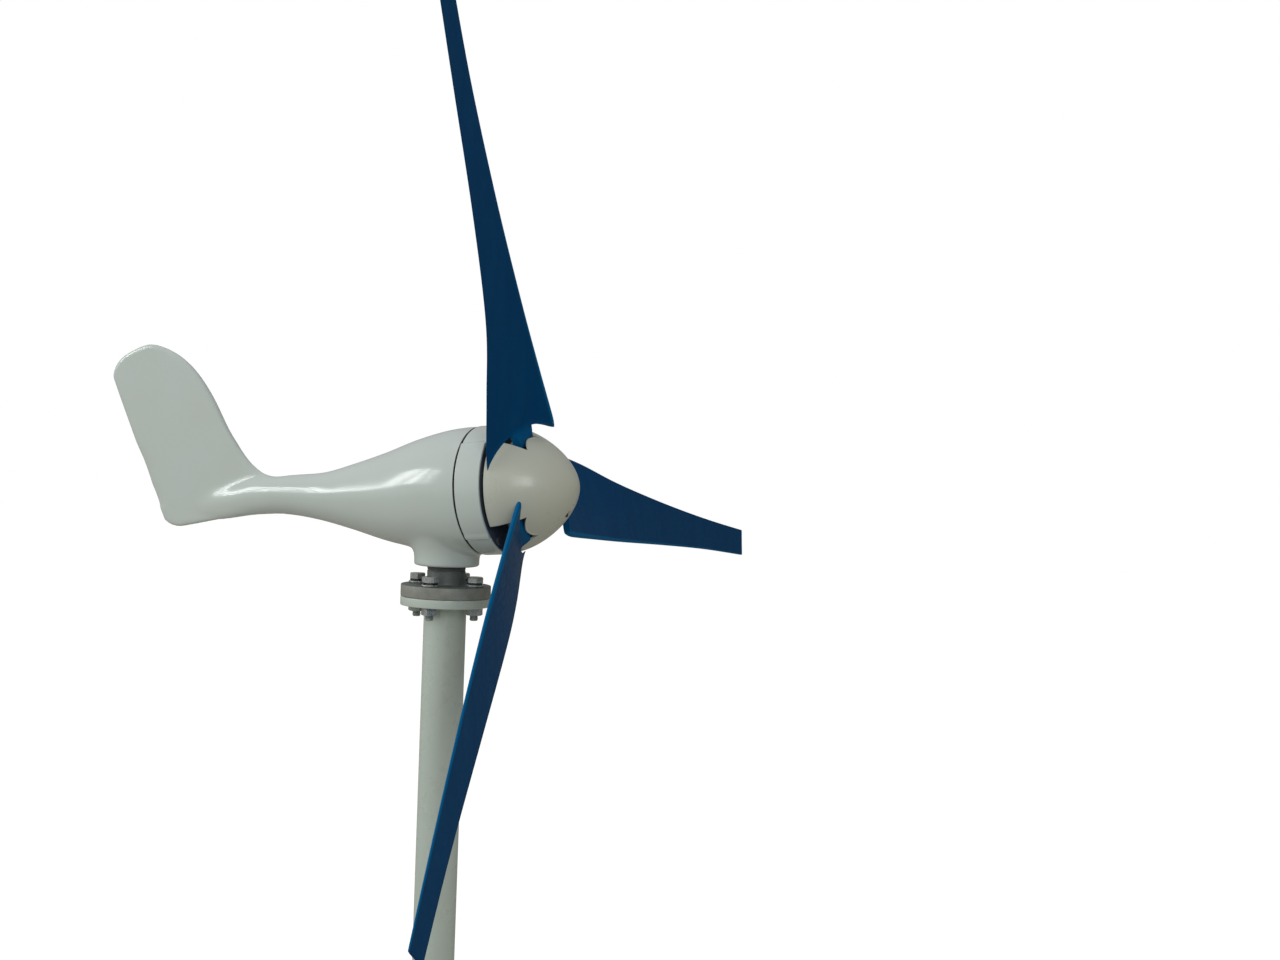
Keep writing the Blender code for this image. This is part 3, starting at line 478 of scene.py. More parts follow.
def metal(name, colour, dull, roughness, grain=140.0, metallic=1.0):
    """Bare or plated metal: uneven tarnish, machining grain and fine scratches."""
    made, tree, shader = start_material(name, colour, roughness, metallic)
    vector = coordinates(tree)
    tarnish = ramp(tree, noise(tree, vector, 60.0, 5.0, 0.65), [(0.38, 0.0), (0.72, 1.0)])
    tree.links.new(mix(tree, tarnish, colour, dull), shader.inputs["Base Color"])
    lines = noise(tree, vector, grain * 6.0, 3.0, 0.6)
    wear = ramp(tree, lines, [(0.3, roughness * 0.7), (0.75, min(roughness * 1.6, 0.9))])
    tree.links.new(wear, shader.inputs["Roughness"])
    bump(tree, shader, lines, 0.18, 0.0003)
    return made


def spindle_steel(name):
    """Grey flange rim; the face above it and the neck are darker, as painted shade under the body with some old
    oil on them.
    """
    made = metal(name, (0.35, 0.36, 0.32), (0.25, 0.26, 0.235), 0.50, 90.0, 0.30)
    tree = made.node_tree
    shader = tree.nodes["Principled BSDF"]
    bare = shader.inputs["Base Color"].links[0].from_socket
    # Painted shade, with some old oil: everything above the flange's top edge is darkened by height.
    split = node(tree, "ShaderNodeSeparateXYZ", Vector=coordinates(tree))
    above = node(tree, "ShaderNodeMapRange", Value=split.outputs["Z"])
    above.inputs["From Min"].default_value = (YAW_FLANGE_TOP - 0.8) * MM
    above.inputs["From Max"].default_value = (YAW_FLANGE_TOP - 0.1) * MM
    oil_and_painted_shade = mix(tree, above.outputs["Result"], bare, (0.16, 0.175, 0.165))
    tree.links.new(oil_and_painted_shade, shader.inputs["Base Color"])
    return made


def moulded(name, colour, pale, roughness):
    """Rubber, plastic or carbon: fine moulded grain with pale dust in it."""
    made, tree, shader = start_material(name, colour, roughness)
    vector = coordinates(tree)
    dust = ramp(tree, noise(tree, vector, 80.0, 5.0, 0.6), [(0.45, 0.0), (0.8, 0.6)])
    tree.links.new(mix(tree, dust, colour, pale), shader.inputs["Base Color"])
    bump(tree, shader, noise(tree, vector, 700.0, 3.0, 0.6), 0.25, 0.0004)
    return made


def laminated(name):
    """Stacked laminations: thin dark and pale lines across the rotor axis."""
    made, tree, shader = start_material(name, (0.12, 0.12, 0.125), 0.5, 0.7)
    vector = coordinates(tree)
    wave = node(tree, "ShaderNodeTexWave", Vector=vector, Scale=320.0, Distortion=0.6, Detail=2.0)
    wave.bands_direction = "X"
    colour = ramp(tree, wave.outputs["Fac"], [(0.3, (0.05, 0.05, 0.055)), (0.7, (0.2, 0.2, 0.21))])
    tree.links.new(colour, shader.inputs["Base Color"])
    bump(tree, shader, wave.outputs["Fac"], 0.3, 0.0004)
    return made


# (maker, name, then the numbers that the maker takes).
SURFACES = [
    (paint, "white_paint", (0.63, 0.705, 0.67), (0.60, 0.655, 0.60), 0.17, 0.06),
    (paint, "mast_paint", (0.59, 0.675, 0.61), (0.55, 0.61, 0.52), 0.27, 0.12, 0.15, 0.6),
    (paint, "spinner_paint", (0.62, 0.645, 0.555), (0.58, 0.585, 0.475), 0.30, 0.03, 0.15, 0.6),
    (blade_plastic, "blade_plastic"),
    (moulded, "dark_paint", (0.085, 0.108, 0.145), (0.125, 0.14, 0.16), 0.40),
    (spindle_steel, "spindle_steel"),
    (metal, "zinc_steel", (0.64, 0.68, 0.66), (0.19, 0.205, 0.20), 0.23, 140.0, 0.65),
    (metal, "dark_steel", (0.10, 0.105, 0.10), (0.05, 0.052, 0.05), 0.35),
    (metal, "bearing_steel", (0.6, 0.6, 0.6), (0.4, 0.4, 0.4), 0.22),
    (laminated, "iron"),
    (metal, "magnet", (0.5, 0.49, 0.47), (0.35, 0.34, 0.32), 0.25),
    (metal, "copper", (0.62, 0.26, 0.12), (0.35, 0.13, 0.06), 0.35),
    (moulded, "black_rubber", (0.010, 0.010, 0.010), (0.028, 0.028, 0.026), 0.8),
    (moulded, "black_plastic", (0.025, 0.025, 0.026), (0.07, 0.07, 0.07), 0.5),
    (moulded, "carbon", (0.03, 0.03, 0.032), (0.06, 0.06, 0.06), 0.6),
    (metal, "cast_aluminium", (0.52, 0.52, 0.53), (0.36, 0.36, 0.36), 0.48, 60.0),
]
MATERIALS = {name: maker(name, *finish) for maker, name, *finish in SURFACES}


def paint_cad_nodes():
    """The inner pieces keep their CAD shapes and take their slot's material."""
    slots = {entry["node"]: entry["material_slot"] for entry in frame["record"]["subparts"]}
    for name, item in frame["nodes"].items():
        item.data.materials.clear()
        item.data.materials.append(MATERIALS[slots[name]])


# -------- mast, flanges and fasteners

def mast_tube():
    inner = TUBE_RADIUS - TUBE_WALL
    high = FLANGE_FACE - 1.0
    profile = [(inner, 0.5), (inner, high), (TUBE_RADIUS, high), (TUBE_RADIUS, 0.5)]
    mesh = turned("tube", profile, 144, 0.6)
    piece("tube", mesh, "mast", MATERIALS["mast_paint"], ["mast_tube"])


def weld_bead(name, height, size, seed):
    """A hand-laid weld: overlapping ripples of uneven size round the tube."""
    count = 420
    sides = 12
    radius = TUBE_RADIUS + 0.5
    loops = []
    for step in range(count):
        turn = 2.0 * math.pi * step / count
        ripple = abs(math.sin(26.0 * turn + 0.7 * math.sin(5.0 * turn + seed)))
        uneven = 0.05 * math.sin(3.0 * turn + seed) + 0.03 * math.sin(7.0 * turn)
        bead = size * (0.84 + 0.14 * ripple + uneven)
        loop = []
        for spot in range(sides):
            lean = 2.0 * math.pi * spot / sides
            reach = radius + bead * math.cos(lean)
            rise = height + bead * math.sin(lean)
            loop.append((reach * math.cos(turn), reach * math.sin(turn), rise))
        loops.append(loop)
    return rings_mesh(name, loops, "joined", 60.0)


def flange_disc(name, radius, low, high, bolts_at):
    """A drilled plate that slips over the tube."""
    bore = TUBE_RADIUS + FITTED_GAP
    profile = [(bore, low), (bore, high), (radius, high), (radius, low)]
    holes = [drill(x, y, BOLT_HOLE, low - 5.0, high + 5.0) for x, y in around(bolts_at, 4)]
    return cut(name, turned(name, profile, 160, 1.1), holes)


def mast_flanges():
    paint_used = MATERIALS["mast_paint"]
    disc = flange_disc("tube_flange", FLANGE_RADIUS, FLANGE_BOTTOM, FLANGE_FACE, BOLT_CIRCLE)
    piece("tube_flange", disc, "mast", paint_used, ["mast_top_flange"])
    radius = radius_of("base_flange")
    foot = flange_disc("foot_flange", radius, 0.0, FOOT_THICKNESS, FOOT_CIRCLE)
    piece("foot_flange", foot, "mast", paint_used, ["base_flange"])
    upper = weld_bead("upper_weld", FLANGE_BOTTOM - 0.6, 2.3, 0.0)
    piece("upper_weld", upper, "mast", paint_used)
    lower = weld_bead("foot_weld", FOOT_THICKNESS + 0.6, 2.6, 1.3)
    piece("foot_weld", lower, "mast", paint_used)


def spindle():
    """Turned yaw spindle: flange, neck and bearing seats, with a groove near the neck's top."""
    base = FLANGE_FACE + FITTED_GAP
    top = YAW_FLANGE_TOP
    shoulder = FLANGE_FACE + 34.9
    seats = [(6.0, 101.0), (12.0, 101.0), (12.0, 55.0), (14.5, 55.0), (14.5, 37.0), (19.0, 37.0)]
    profile = [
        (6.0, base),
        *((radius, FLANGE_FACE + height) for radius, height in seats),
        (19.0, shoulder),
        (NECK_RADIUS, shoulder),
        (NECK_RADIUS, shoulder - 3.2),
        (NECK_RADIUS - 0.5, shoulder - 3.6),
        (NECK_RADIUS - 0.5, shoulder - 4.6),
        (NECK_RADIUS, shoulder - 5.0),
        (NECK_RADIUS, top + 2.4),
        (NECK_RADIUS + 0.7, top + 0.7),
        (NECK_RADIUS + 2.4, top),
        (FLANGE_RADIUS, top),
        (FLANGE_RADIUS, base),
    ]
    holes = [drill(x, y, BOLT_HOLE, base - 5.0, top + 5.0) for x, y in around(BOLT_CIRCLE, 4)]
    mesh = cut("spindle", turned("spindle", profile, 160, 0.9), holes)
    piece("spindle", mesh, "mast", MATERIALS["spindle_steel"], ["yaw_spindle"])


def hexagon_reach(across, turn):
    """Distance from a hexagon's middle to its side, in the direction of turn."""
    side = math.pi / 3.0
    return across / 2.0 / math.cos((turn + side / 2.0) % side - side / 2.0)


def hexagon(name, across, levels, bore=0.0, tail=()):
    """A six-sided head or nut: each level is (height, limit of its cone), over a round tail."""
    segments = 96
    loops = [circle(radius, height, segments) for radius, height in tail]
    for height, limit in levels:
        loop = []
        for step in range(segments):
            turn = 2.0 * math.pi * step / segments
            reach = min(hexagon_reach(across, turn), limit)
            loop.append((reach * math.cos(turn), reach * math.sin(turn), height))
        loops.append(loop)
    if bore:
        low, high = levels[0][0], levels[-1][0]
        ease = 0.7
        wide = bore + ease
        for radius, height in ((wide, high), (bore, high - ease), (bore, low + ease), (wide, low)):
            loops.append(circle(radius, height, segments))
    return rings_mesh(name, loops, "joined" if bore else "flat", 28.0)


def chamfer_levels(across, low, high, both):
    """Levels of a hexagon whose corners are turned off by a shallow cone."""
    face = across / 2.0 * 0.97
    corner = across / math.sqrt(3.0) + 0.01
    steps = 6
    slope = 0.55
    limits = [face + (corner - face) * step / steps for step in range(steps + 1)]
    top = [(high - (limit - face) * slope, limit) for limit in reversed(limits)]
    bottom = [(low + (limit - face) * slope, limit) for limit in limits]
    return (bottom if both else [(low, corner)]) + top


def threaded_tail(shank, length, pitch, plain):
    """Profile of a threaded rod from its lower end up to height 0."""
    tail = [(shank - 1.3, -length), (shank - 0.4, -length + 1.0)]
    height = -length + 1.2
    while height < -plain:
        tail.append((shank, height))
        tail.append((shank - 0.75, height + pitch / 2.0))
        height += pitch
    tail.append((shank, -plain))
    tail.append((shank, 0.0))
    return tail


def washer_mesh(name, inner, outer, height):
    profile = [(inner, 0.0), (inner, height), (outer, height), (outer, 0.0)]
    return turned(name, profile, 64, 0.35)


def spring_washer(name, inner, outer, height):
    """A split ring whose two ends stand slightly apart."""
    count = 60
    loops = []
    for step in range(count + 1):
        share = step / count
        turn = math.radians(6.0 + 348.0 * share)
        lift = 0.5 * (share - 0.5)
        loop = []
        for radius, level in ((inner, 0.0), (outer, 0.0), (outer, height), (inner, height)):
            loop.append((radius * math.cos(turn), radius * math.sin(turn), level + lift))
        loops.append(loop)
    return rings_mesh(name, loops, "flat", 30.0)


def headed(name, across, high, tail):
    """A bolt or screw with a six-sided head; its seat is at height 0."""
    return hexagon(name, across, chamfer_levels(across, 0.0, high, False), tail=tail)


def placed(mesh, x, y, z, turn=0.0):
    """A copy of a mesh, turned about its own Z and moved."""
    copy = mesh.copy()
    spin = Matrix.Rotation(math.radians(turn), 4, "Z")
    copy.transform(Matrix.Translation((x * MM, y * MM, z * MM)) @ spin)
    return copy


def flange_fasteners():
    """Bolts through both flanges, with a flat and a spring washer under each head, and nuts."""
    steel = MATERIALS["zinc_steel"]
    dark = MATERIALS["dark_steel"]
    washer_low = bottom_of("flange_washer_1")
    head_seat = washer_low + 4.5
    nut_seat = FLANGE_BOTTOM - 8.7
    across = 17.0
    length = head_seat - FLANGE_BOTTOM + 14.9
    bolt = headed("bolt", across, 6.4, threaded_tail(4.9, length, 1.5, 22.0))
    flat = washer_mesh("washer", 5.4, 10.0, 1.9)
    spring = spring_washer("spring_washer", 5.4, 8.6, 1.9)
    nut = hexagon("nut", across, chamfer_levels(across, 0.0, 8.4, True), bore=5.1)
    for index, (x, y) in enumerate(around(BOLT_CIRCLE, 4)):
        number = index + 1
        turn = 38.0 + 25.0 * index
        split = 40.0 + 70.0 * index
        shapes = (
            ("bolt", bolt, steel, head_seat, turn, [f"flange_bolt_{number}"]),
            ("washer", flat, steel, washer_low, 0.0, [f"flange_washer_{number}"]),
            ("spring_washer", spring, dark, washer_low + 2.1, split, []),
            ("nut", nut, steel, nut_seat, turn + 20.0, [f"flange_nut_{number}"]),
        )
        for name, mesh, finish, height, spin, nodes in shapes:
            copy = placed(mesh, x, y, height, spin)
            piece(f"{name}_{number}", copy, "mast", finish, nodes)


# -------- nacelle

def body_loops(stations, steps, segments):
    """Oval sections along the tilted axis; lean turns them square to that axis."""
    loops = []
    for along, rise, half_height, half_width, lean in spline(stations, steps):
        tilt = TILT * lean
        up = Vector((-math.sin(tilt), 0.0, math.cos(tilt)))
        centre = Vector((along * math.cos(TILT), 0.0, along * math.sin(TILT) + rise))
        loop = []
        for step in range(segments):
            turn = 2.0 * math.pi * step / segments
            side = Vector((0.0, half_width * math.sin(turn), 0.0))
            loop.append(centre + up * half_height * math.cos(turn) + side)
        loops.append(loop)
    return loops


def screw_places():
    return around(SCREW_CIRCLE, 3, SCREW_START)


def screw_drills(low, high):
    return [drill(x, y, SCREW_HOLE, low, high) for x, y in screw_places()]


def fin_mesh():
    """The tail fin: a flat plate with full round edges."""
    outline = spline(FIN_OUTLINE, 6, closed=True)
    count = len(outline)
    half = FIN_HALF
    round_steps = 7
    loops = []
    for step in range(round_steps + 1):
        turn = math.pi * step / round_steps
        side = -half * math.cos(turn)
        inward = half * (1.0 - math.sin(turn))
        loop = []
        for index, (x, z) in enumerate(outline):
            before = Vector(outline[index - 1])
            after = Vector(outline[(index + 1) % count])
            along = (after - before).normalized()
            loop.append((x + along.y * inward, side, z - AXIS_HEIGHT - along.x * inward))
        loops.append(loop)
    return rings_mesh("fin", loops)


def nearness(value, middle, reach):
    """1 at the middle, falling to 0 at the reach on each side."""
    return max(0.0, 1.0 - abs(value - middle) / reach)


def shrink_weight(spot):
    """How much a point of the shell is smoothed: most where the castings' parts run together."""
    x, y, z = (value / MM for value in spot)
    weight = 0.06
    at_collar = z < -30.0 and math.hypot(x, y) < 62.0
    if at_collar:
        weight = max(weight, min(1.0, 1.6 * nearness(z, -55.0, 22.0)))
    at_fin = x < -215.0 and abs(y) < 28.0
    if at_fin:
        rise = z + 0.03 * abs(x) + 2.0
        near = max(nearness(rise, 20.0, 34.0), nearness(rise, -14.0, 30.0))
        edge = 0.25 if z < -38.0 else 1.0
        weight = max(weight, edge * min(1.0, 1.4 * near))
    return weight


def blended_casting():
    """Body, collar, boom and fin as one skin, smoothed where they meet."""
    low = COLLAR_BOTTOM - AXIS_HEIGHT
    collar = [
        (0.0, -20.0),
        (30.0, -20.0),
        (44.0, -42.0),
        (46.5, -51.0),
        (42.5, -58.0),
        (39.6, -64.0),
        (37.8, -69.5),
        (COLLAR_RADIUS, -75.0),
        (COLLAR_RADIUS, low),
        (0.0, low),
    ]
    form = bmesh.new()
    body = rings_mesh("body", body_loops(BODY_STATIONS, 8, 128))
    for part in (body, fin_mesh(), turned("collar", collar, 128, 2.6)):
        form.from_mesh(part)
    joined = bpy.data.meshes.new("shell")
    form.to_mesh(joined)
    form.free()
    blank = loose("shell_blank", joined)
    remesh = blank.modifiers.new("remesh", "REMESH")
    remesh.mode = "VOXEL"
    remesh.voxel_size = 1.5 * MM
    remesh.use_smooth_shade = True
    shell = loose("shell_blend", applied(blank))
    group = shell.vertex_groups.new(name="blend")
    for vertex in shell.data.vertices:
        group.add([vertex.index], shrink_weight(vertex.co), "REPLACE")
    smooth = shell.modifiers.new("blend", "SMOOTH")
    smooth.factor = 0.9
    smooth.iterations = 60
    smooth.vertex_group = "blend"
    return applied(shell)


def shell_cavity():
    """The room inside the casting, less the post that holds the yaw bearings."""
    stations = [
        (-205.0, 4.4, 9.0, 9.0, 0.0),
        (-198.0, 4.3, 17.0, 17.0, 0.0),
        (-162.0, 1.2, 23.6, 23.6, 0.0),
        (-120.0, -0.4, 34.0, 34.0, 0.2),
        (-76.0, -2.2, 46.5, 46.0, 0.6),
        (-35.0, -1.5, 57.6, 57.0, 1.0),
        (0.0, 0.0, 64.0, 64.0, 1.0),
        (24.0, 0.0, 66.5, 66.5, 1.0),
        (30.0, 0.0, HOUSING_BORE, HOUSING_BORE, 1.0),
        (SEAM_AT + 15.0, 0.0, HOUSING_BORE, HOUSING_BORE, 1.0),
    ]
    hollow = rings_mesh("hollow", body_loops(stations, 2, 64))
    post = [(0.0, -33.5), (29.5, -33.5), (29.5, -60.0), (42.0, -72.0), (42.0, -90.0), (0.0, -90.0)]
    return cut("cavity", hollow, [turned("post", post, 48, 0.0)])


def nacelle_shell():
    """One hollow casting with bearing seats, a flat front face and three screw holes."""
    seats = [
        (0.0, -20.0),
        (23.8, -20.0),
        (23.8, -53.1),
        (18.5, -53.1),
        (18.5, -68.5),
        (27.8, -68.5),
        (27.8, -100.0),
        (0.0, -100.0),
    ]
    front = SEAM_AT - SEAM_EASE
    past = SEAM_AT + 40.0
    face = turned("face", [(0.0, front), (90.0, front), (90.0, past), (0.0, past)], 64, 0.0)
    face.transform(AXIS_TURN)
    cutters = [shell_cavity(), turned("seats", seats, 64, 0.0), face]
    for hole in screw_drills(33.0, SEAM_AT + 5.0):
        hole.transform(AXIS_TURN)
        cutters.append(hole)
    mesh = cut("shell", blended_casting(), cutters, 38.0)
    mesh.transform(Matrix.Translation((0.0, 0.0, HUB_HEIGHT * MM)))
    piece("shell", mesh, "nacelle", MATERIALS["white_paint"], ["nacelle_shell"])


def on_axis(name, mesh, body, slot, nodes=()):
    """A piece built along the tilted axis, put in its place."""
    mesh.transform(AXIS_PLACE)
    piece(name, mesh, body, MATERIALS[slot], nodes)


def gasket():
    """The black gasket, which fills the seam between shell and ring."""
    low = SEAM_AT - 0.3
    high = low + 2.8
    outer = SEAM_RADIUS - 0.4
    profile = [(HOUSING_BORE, low), (HOUSING_BORE, high), (outer, high), (outer, low)]
    mesh = cut("gasket", turned("gasket", profile, 160, 0.2), screw_drills(low - 5.0, high + 5.0))
    on_axis("gasket", mesh, "nacelle", "black_rubber", ["seam_gasket"])


def angle_between(first, second):
    return abs((first - second + 180.0) % 360.0 - 180.0)


def panel_rise(degrees):
    """How far the ring stands up at an angle, as a share of RING_STEP.

    The side panels stand up, and end in a soft ridge and a narrow groove.
    """
    away = min(angle_between(degrees, centre) for centre in (90.0, 270.0))
    points = [(-7.5, 0.85), (-3.2, 1.4), (-1.2, 1.35), (0.2, -0.7), (1.1, -0.65), (1.9, 0.0)]
    past = away - PANEL_HALF
    if past <= points[0][0]:
        return points[0][1]
    for (start, low), (end, high) in zip(points, points[1:]):
        if past <= end:
            share = (past - start) / (end - start)
            return low + (high - low) * share * share * (3.0 - 2.0 * share)
    return 0.0


def housing_ring():
    """Stator housing ring: softly rounded rims and a raised panel on each side."""
    rear = RING_REAR + FITTED_GAP
    seat = COVER_REAR - FITTED_GAP
    counter = COVER_RADIUS + 0.8
    edges = (90.0 - PANEL_HALF, 90.0 + PANEL_HALF, 270.0 - PANEL_HALF, 270.0 + PANEL_HALF)
    profile = [
        (HOUSING_BORE, rear),
        (HOUSING_BORE, seat),
        (counter, seat),
        (counter, RING_FRONT),
        (RING_RADIUS, RING_FRONT),
        (RING_RADIUS, rear),
    ]
    soft = rounded(profile, 0.9, 5)
    angles = []
    degrees = 0.0
    while degrees < 360.0:
        angles.append(degrees)
        near = min(angle_between(degrees, edge) for edge in edges)
        degrees += 0.2 if near < 3.0 else 1.0
    loops = []
    for radius, height in soft:
        loop = []
        for turn in angles:
            drop = RING_STEP * (1.0 - panel_rise(turn)) if radius > counter + 1.0 else 0.0
            loop.append(ring_point(radius - drop, turn, height))
        loops.append(loop)
    blank = rings_mesh("housing_ring", loops, "joined", 40.0)
    mesh = cut("housing_ring", blank, screw_drills(RING_REAR - 5.0, RING_FRONT + 5.0))
    on_axis("housing_ring", mesh, "nacelle", "white_paint", ["front_ring"])


def dark_cover():
    """The cover that carries the front bearing, with its three screws."""
    bore = 23.8
    profile = [
        (bore, 67.5),
        (29.0, 67.5),
        (29.0, COVER_REAR),
        (COVER_RADIUS, COVER_REAR),
        (COVER_RADIUS, COVER_FRONT),
        (30.0, COVER_FRONT),
        (28.0, 81.0),
        (bore, 81.0),
    ]
    mesh = cut("cover", turned("cover", profile, 160, 0.9), screw_drills(61.0, 86.0))
    on_axis("cover", mesh, "nacelle", "dark_paint", ["front_cover"])
    screw = headed("cover_screw", 7.4, 3.0, [(2.0, -38.0), (2.3, -37.0), (2.3, 0.0)])
    for index, (x, y) in enumerate(screw_places()):
        mesh = placed(screw, x, y, COVER_FRONT + FITTED_GAP, 11.0 * index)
        number = index + 1
        on_axis(f"head_screw_{number}", mesh, "nacelle", "dark_paint", [f"cover_screw_{number}"])


# -------- rotor

def spinner_reach(along):
    """The nose cone's outer radius at a place along the axis."""
    share = limited((along - SPINNER_REAR) / SPINNER_LENGTH)
    return SPINNER_RADIUS * (1.0 - share ** 1.5) ** 0.6


def spinner_screw_place():
    return ring_point(SPINNER_SCREW_OUT, SPINNER_SCREW_TURN, 0.0)[:2]


def notch_path(half, steps):
    """The notch's front edge as (angle from its middle, place along the axis): a broad lobe."""
    path = []
    for step in range(steps + 1):
        turn = half * (2.0 * step / steps - 1.0)
        path.append((turn, NOTCH_MIDDLE + NOTCH_DEEPER * abs(turn / NOTCH_HALF) ** 1.7))
    return path


def notch_mesh(middle):
    """Cutter for one notch: radial sides, the lobed front edge, open to the rear."""
    rear = SPINNER_REAR - 10.0
    path = [(-NOTCH_HALF, rear), *notch_path(NOTCH_HALF, 24), (NOTCH_HALF, rear)]
    loops = []
    for radius in (30.0, 95.0):
        loops.append([ring_point(radius, middle + turn, height) for turn, height in path])
    return rings_mesh("notch", loops)


def notch_lip(name, middle):
    """The rolled edge of the skin along the notch's front."""
    size = 1.5
    sides = 14
    path = notch_path(NOTCH_HALF - 1.5, 36)
    loops = []
    for index, (turn, height) in enumerate(path):
        ends = min(index, len(path) - 1 - index) / 5.0
        bead = size * math.sqrt(min(1.0, 0.12 + ends * 0.9))
        place = height + 0.5
        radius = spinner_reach(place) - size * 0.72
        loop = []
        for spot in range(sides):
            lean = 2.0 * math.pi * spot / sides
            reach = radius + bead * math.cos(lean)
            loop.append(ring_point(reach, middle + turn, place + bead * math.sin(lean)))
        loops.append(loop)
    mesh = rings_mesh(name, loops, "flat", 60.0)
    on_axis(name, mesh, "rotor", "spinner_paint")


def spinner():
    """Rounded nose cone with three notches; its wall shows at the notches' edges."""
    count = 40
    outside = []
    inside = []
    for step in range(count + 1):
        share = math.sin(0.5 * math.pi * step / count)
        along = SPINNER_REAR + SPINNER_LENGTH * share
        outside.append((spinner_reach(along), along))
        if step < count:
            inner = SPINNER_REAR + (SPINNER_LENGTH - SPINNER_WALL) * share
            inside.append((max(spinner_reach(along) - SPINNER_WALL, 2.0), inner))
    inside.append((0.0, SPINNER_REAR + SPINNER_LENGTH - SPINNER_WALL))
    profile = outside + list(reversed(inside))
    x, y = spinner_screw_place()
    cutters = [notch_mesh(angle + NOTCH_TURN) for angle in BLADE_ANGLES]
    cutters.append(drill(x, y, 4.3, SPINNER_SCREW_SEAT, 165.0))
    cutters.append(drill(x, y, 2.1, 130.0, 150.0))
    mesh = cut("nose", turned("nose", profile, 192, 0.0), cutters, 32.0)
    on_axis("nose", mesh, "rotor", "spinner_paint", ["spinner"])
    for index, angle in enumerate(BLADE_ANGLES):
        notch_lip(f"notch_lip_{index + 1}", angle + NOTCH_TURN)
    screw = headed("nose_screw", 5.2, 1.6, [(1.6, -34.0), (1.6, 0.0)])
    mesh = placed(screw, x, y, SPINNER_SCREW_SEAT + FITTED_GAP)
    mesh.transform(AXIS_PLACE)
    piece("nose_screw", mesh, "rotor", MATERIALS["black_plastic"], ["spinner_screw"])


def bolt_places():
    """Where the blade bolts stand, two in each blade's tab."""
    places = []
    for angle in BLADE_ANGLES:
        turn = math.radians(angle)
        for side in ROOT_BOLT_SIDES:
            x = ROOT_BOLT_AT * math.cos(turn) - side * math.sin(turn)
            y = ROOT_BOLT_AT * math.sin(turn) + side * math.cos(turn)
            places.append((x, y))
    return places


def root_drills():
    return [drill(x, y, ROOT_BOLT_HOLE, 70.0, 120.0) for x, y in bolt_places()]


def hub():
    """Plates that hold the blade tabs, and the bolts through them."""
    base = 82.6
    face = BLADE_AXIS_AT - TAB_HALF_DEEP - FITTED_GAP
    profile = [
        (10.0, base),
        (10.0, face),
        (58.0, face),
        (58.0, face - 7.0),
        (22.0, face - 7.0),
        (22.0, base),
    ]
    mesh = cut("hub", turned("hub", profile, 128, 0.8), root_drills())
    on_axis("hub", mesh, "rotor", "dark_paint", ["hub_plate"])
    front = BLADE_AXIS_AT + TAB_HALF_DEEP + FITTED_GAP
    top = front + 4.0
    profile = [(8.0, front), (8.0, top), (50.0, top), (50.0, front)]
    holes = [*root_drills(), drill(*spinner_screw_place(), 1.9, 70.0, 120.0)]
    mesh = cut("clamp", turned("clamp", profile, 128, 0.6), holes)
    on_axis("clamp", mesh, "rotor", "zinc_steel", ["clamp_plate"])
    seat = top + FITTED_GAP
    bolt = headed("root_bolt", 10.0, 4.0, threaded_tail(3.0, 28.0, 1.0, 10.0))
    for index, (x, y) in enumerate(bolt_places()):
        mesh = placed(bolt, x, y, seat, 17.0 * index)
        on_axis(f"root_bolt_{index + 1}", mesh, "rotor", "zinc_steel", [f"blade_bolt_{index + 1}"])


def blade_section():
    """Section outline from the trailing edge's front corner, round the nose, to its rear corner."""
    points = [
        (1.0, 0.0),
        (0.66, 0.03),
        (0.33, 0.04),
        (0.06, 0.02),
        (0.012, 0.13),
        (0.0, 0.35),
        (0.012, 0.62),
        (0.06, 0.88),
        (0.18, 1.0),
        (0.36, 0.97),
        (0.56, 0.75),
        (0.78, 0.42),
        (1.0, 0.10),
    ]
    return spline(points, 5)


def blade_loops():
    """Sections from root to tip; root holds what the leading edge loses near the hub."""
    stations = spline(BLADE_STATIONS, 10)
    root = [(36.0, 16.0), (44.0, 8.0), (50.0, 3.6), (57.0, 1.0), (64.0, 0.0)]
    section = blade_section()
    tip = stations[-1][0]
    ends = [(1.6, 0.0, 1.0), (0.6, 0.5, 0.8), (0.0, 1.6, 0.45)]
    rows = [(station, 0.0, 1.0) for station in stations if station[0] < tip - 2.0]
    for back, trim, share in ends:
        rows.append(((tip - back, *stations[-1][1:]), trim, share))
    loops = []
    for (radius, leading, trailing, pitch, thickness, back), trim, share in rows:
        lost = 0.0
        for (inner, here), (outer, there) in zip(root, root[1:]):
            if inner <= radius < outer:
                lost = here + (there - here) * (radius - inner) / (outer - inner)
        turn = math.radians(pitch)
        reach = radius * math.cos(BLADE_CONE)
        axis = Vector((reach, 0.0, BLADE_AXIS_AT + radius * math.sin(BLADE_CONE)))
        chord_way = Vector((0.0, -math.cos(turn), math.sin(turn)))
        back_way = Vector((0.0, -math.sin(turn), -math.cos(turn)))
        front_edge = leading - lost - trim
        rear_edge = trailing - trim
        loop = []
        for along, depth in section:
            offset = front_edge - (front_edge + rear_edge) * along
            shift = back + thickness * (depth - CHORD_LINE_DEPTH) * share
            loop.append(axis + chord_way * offset + back_way * shift)
        loops.append(loop)
    return loops


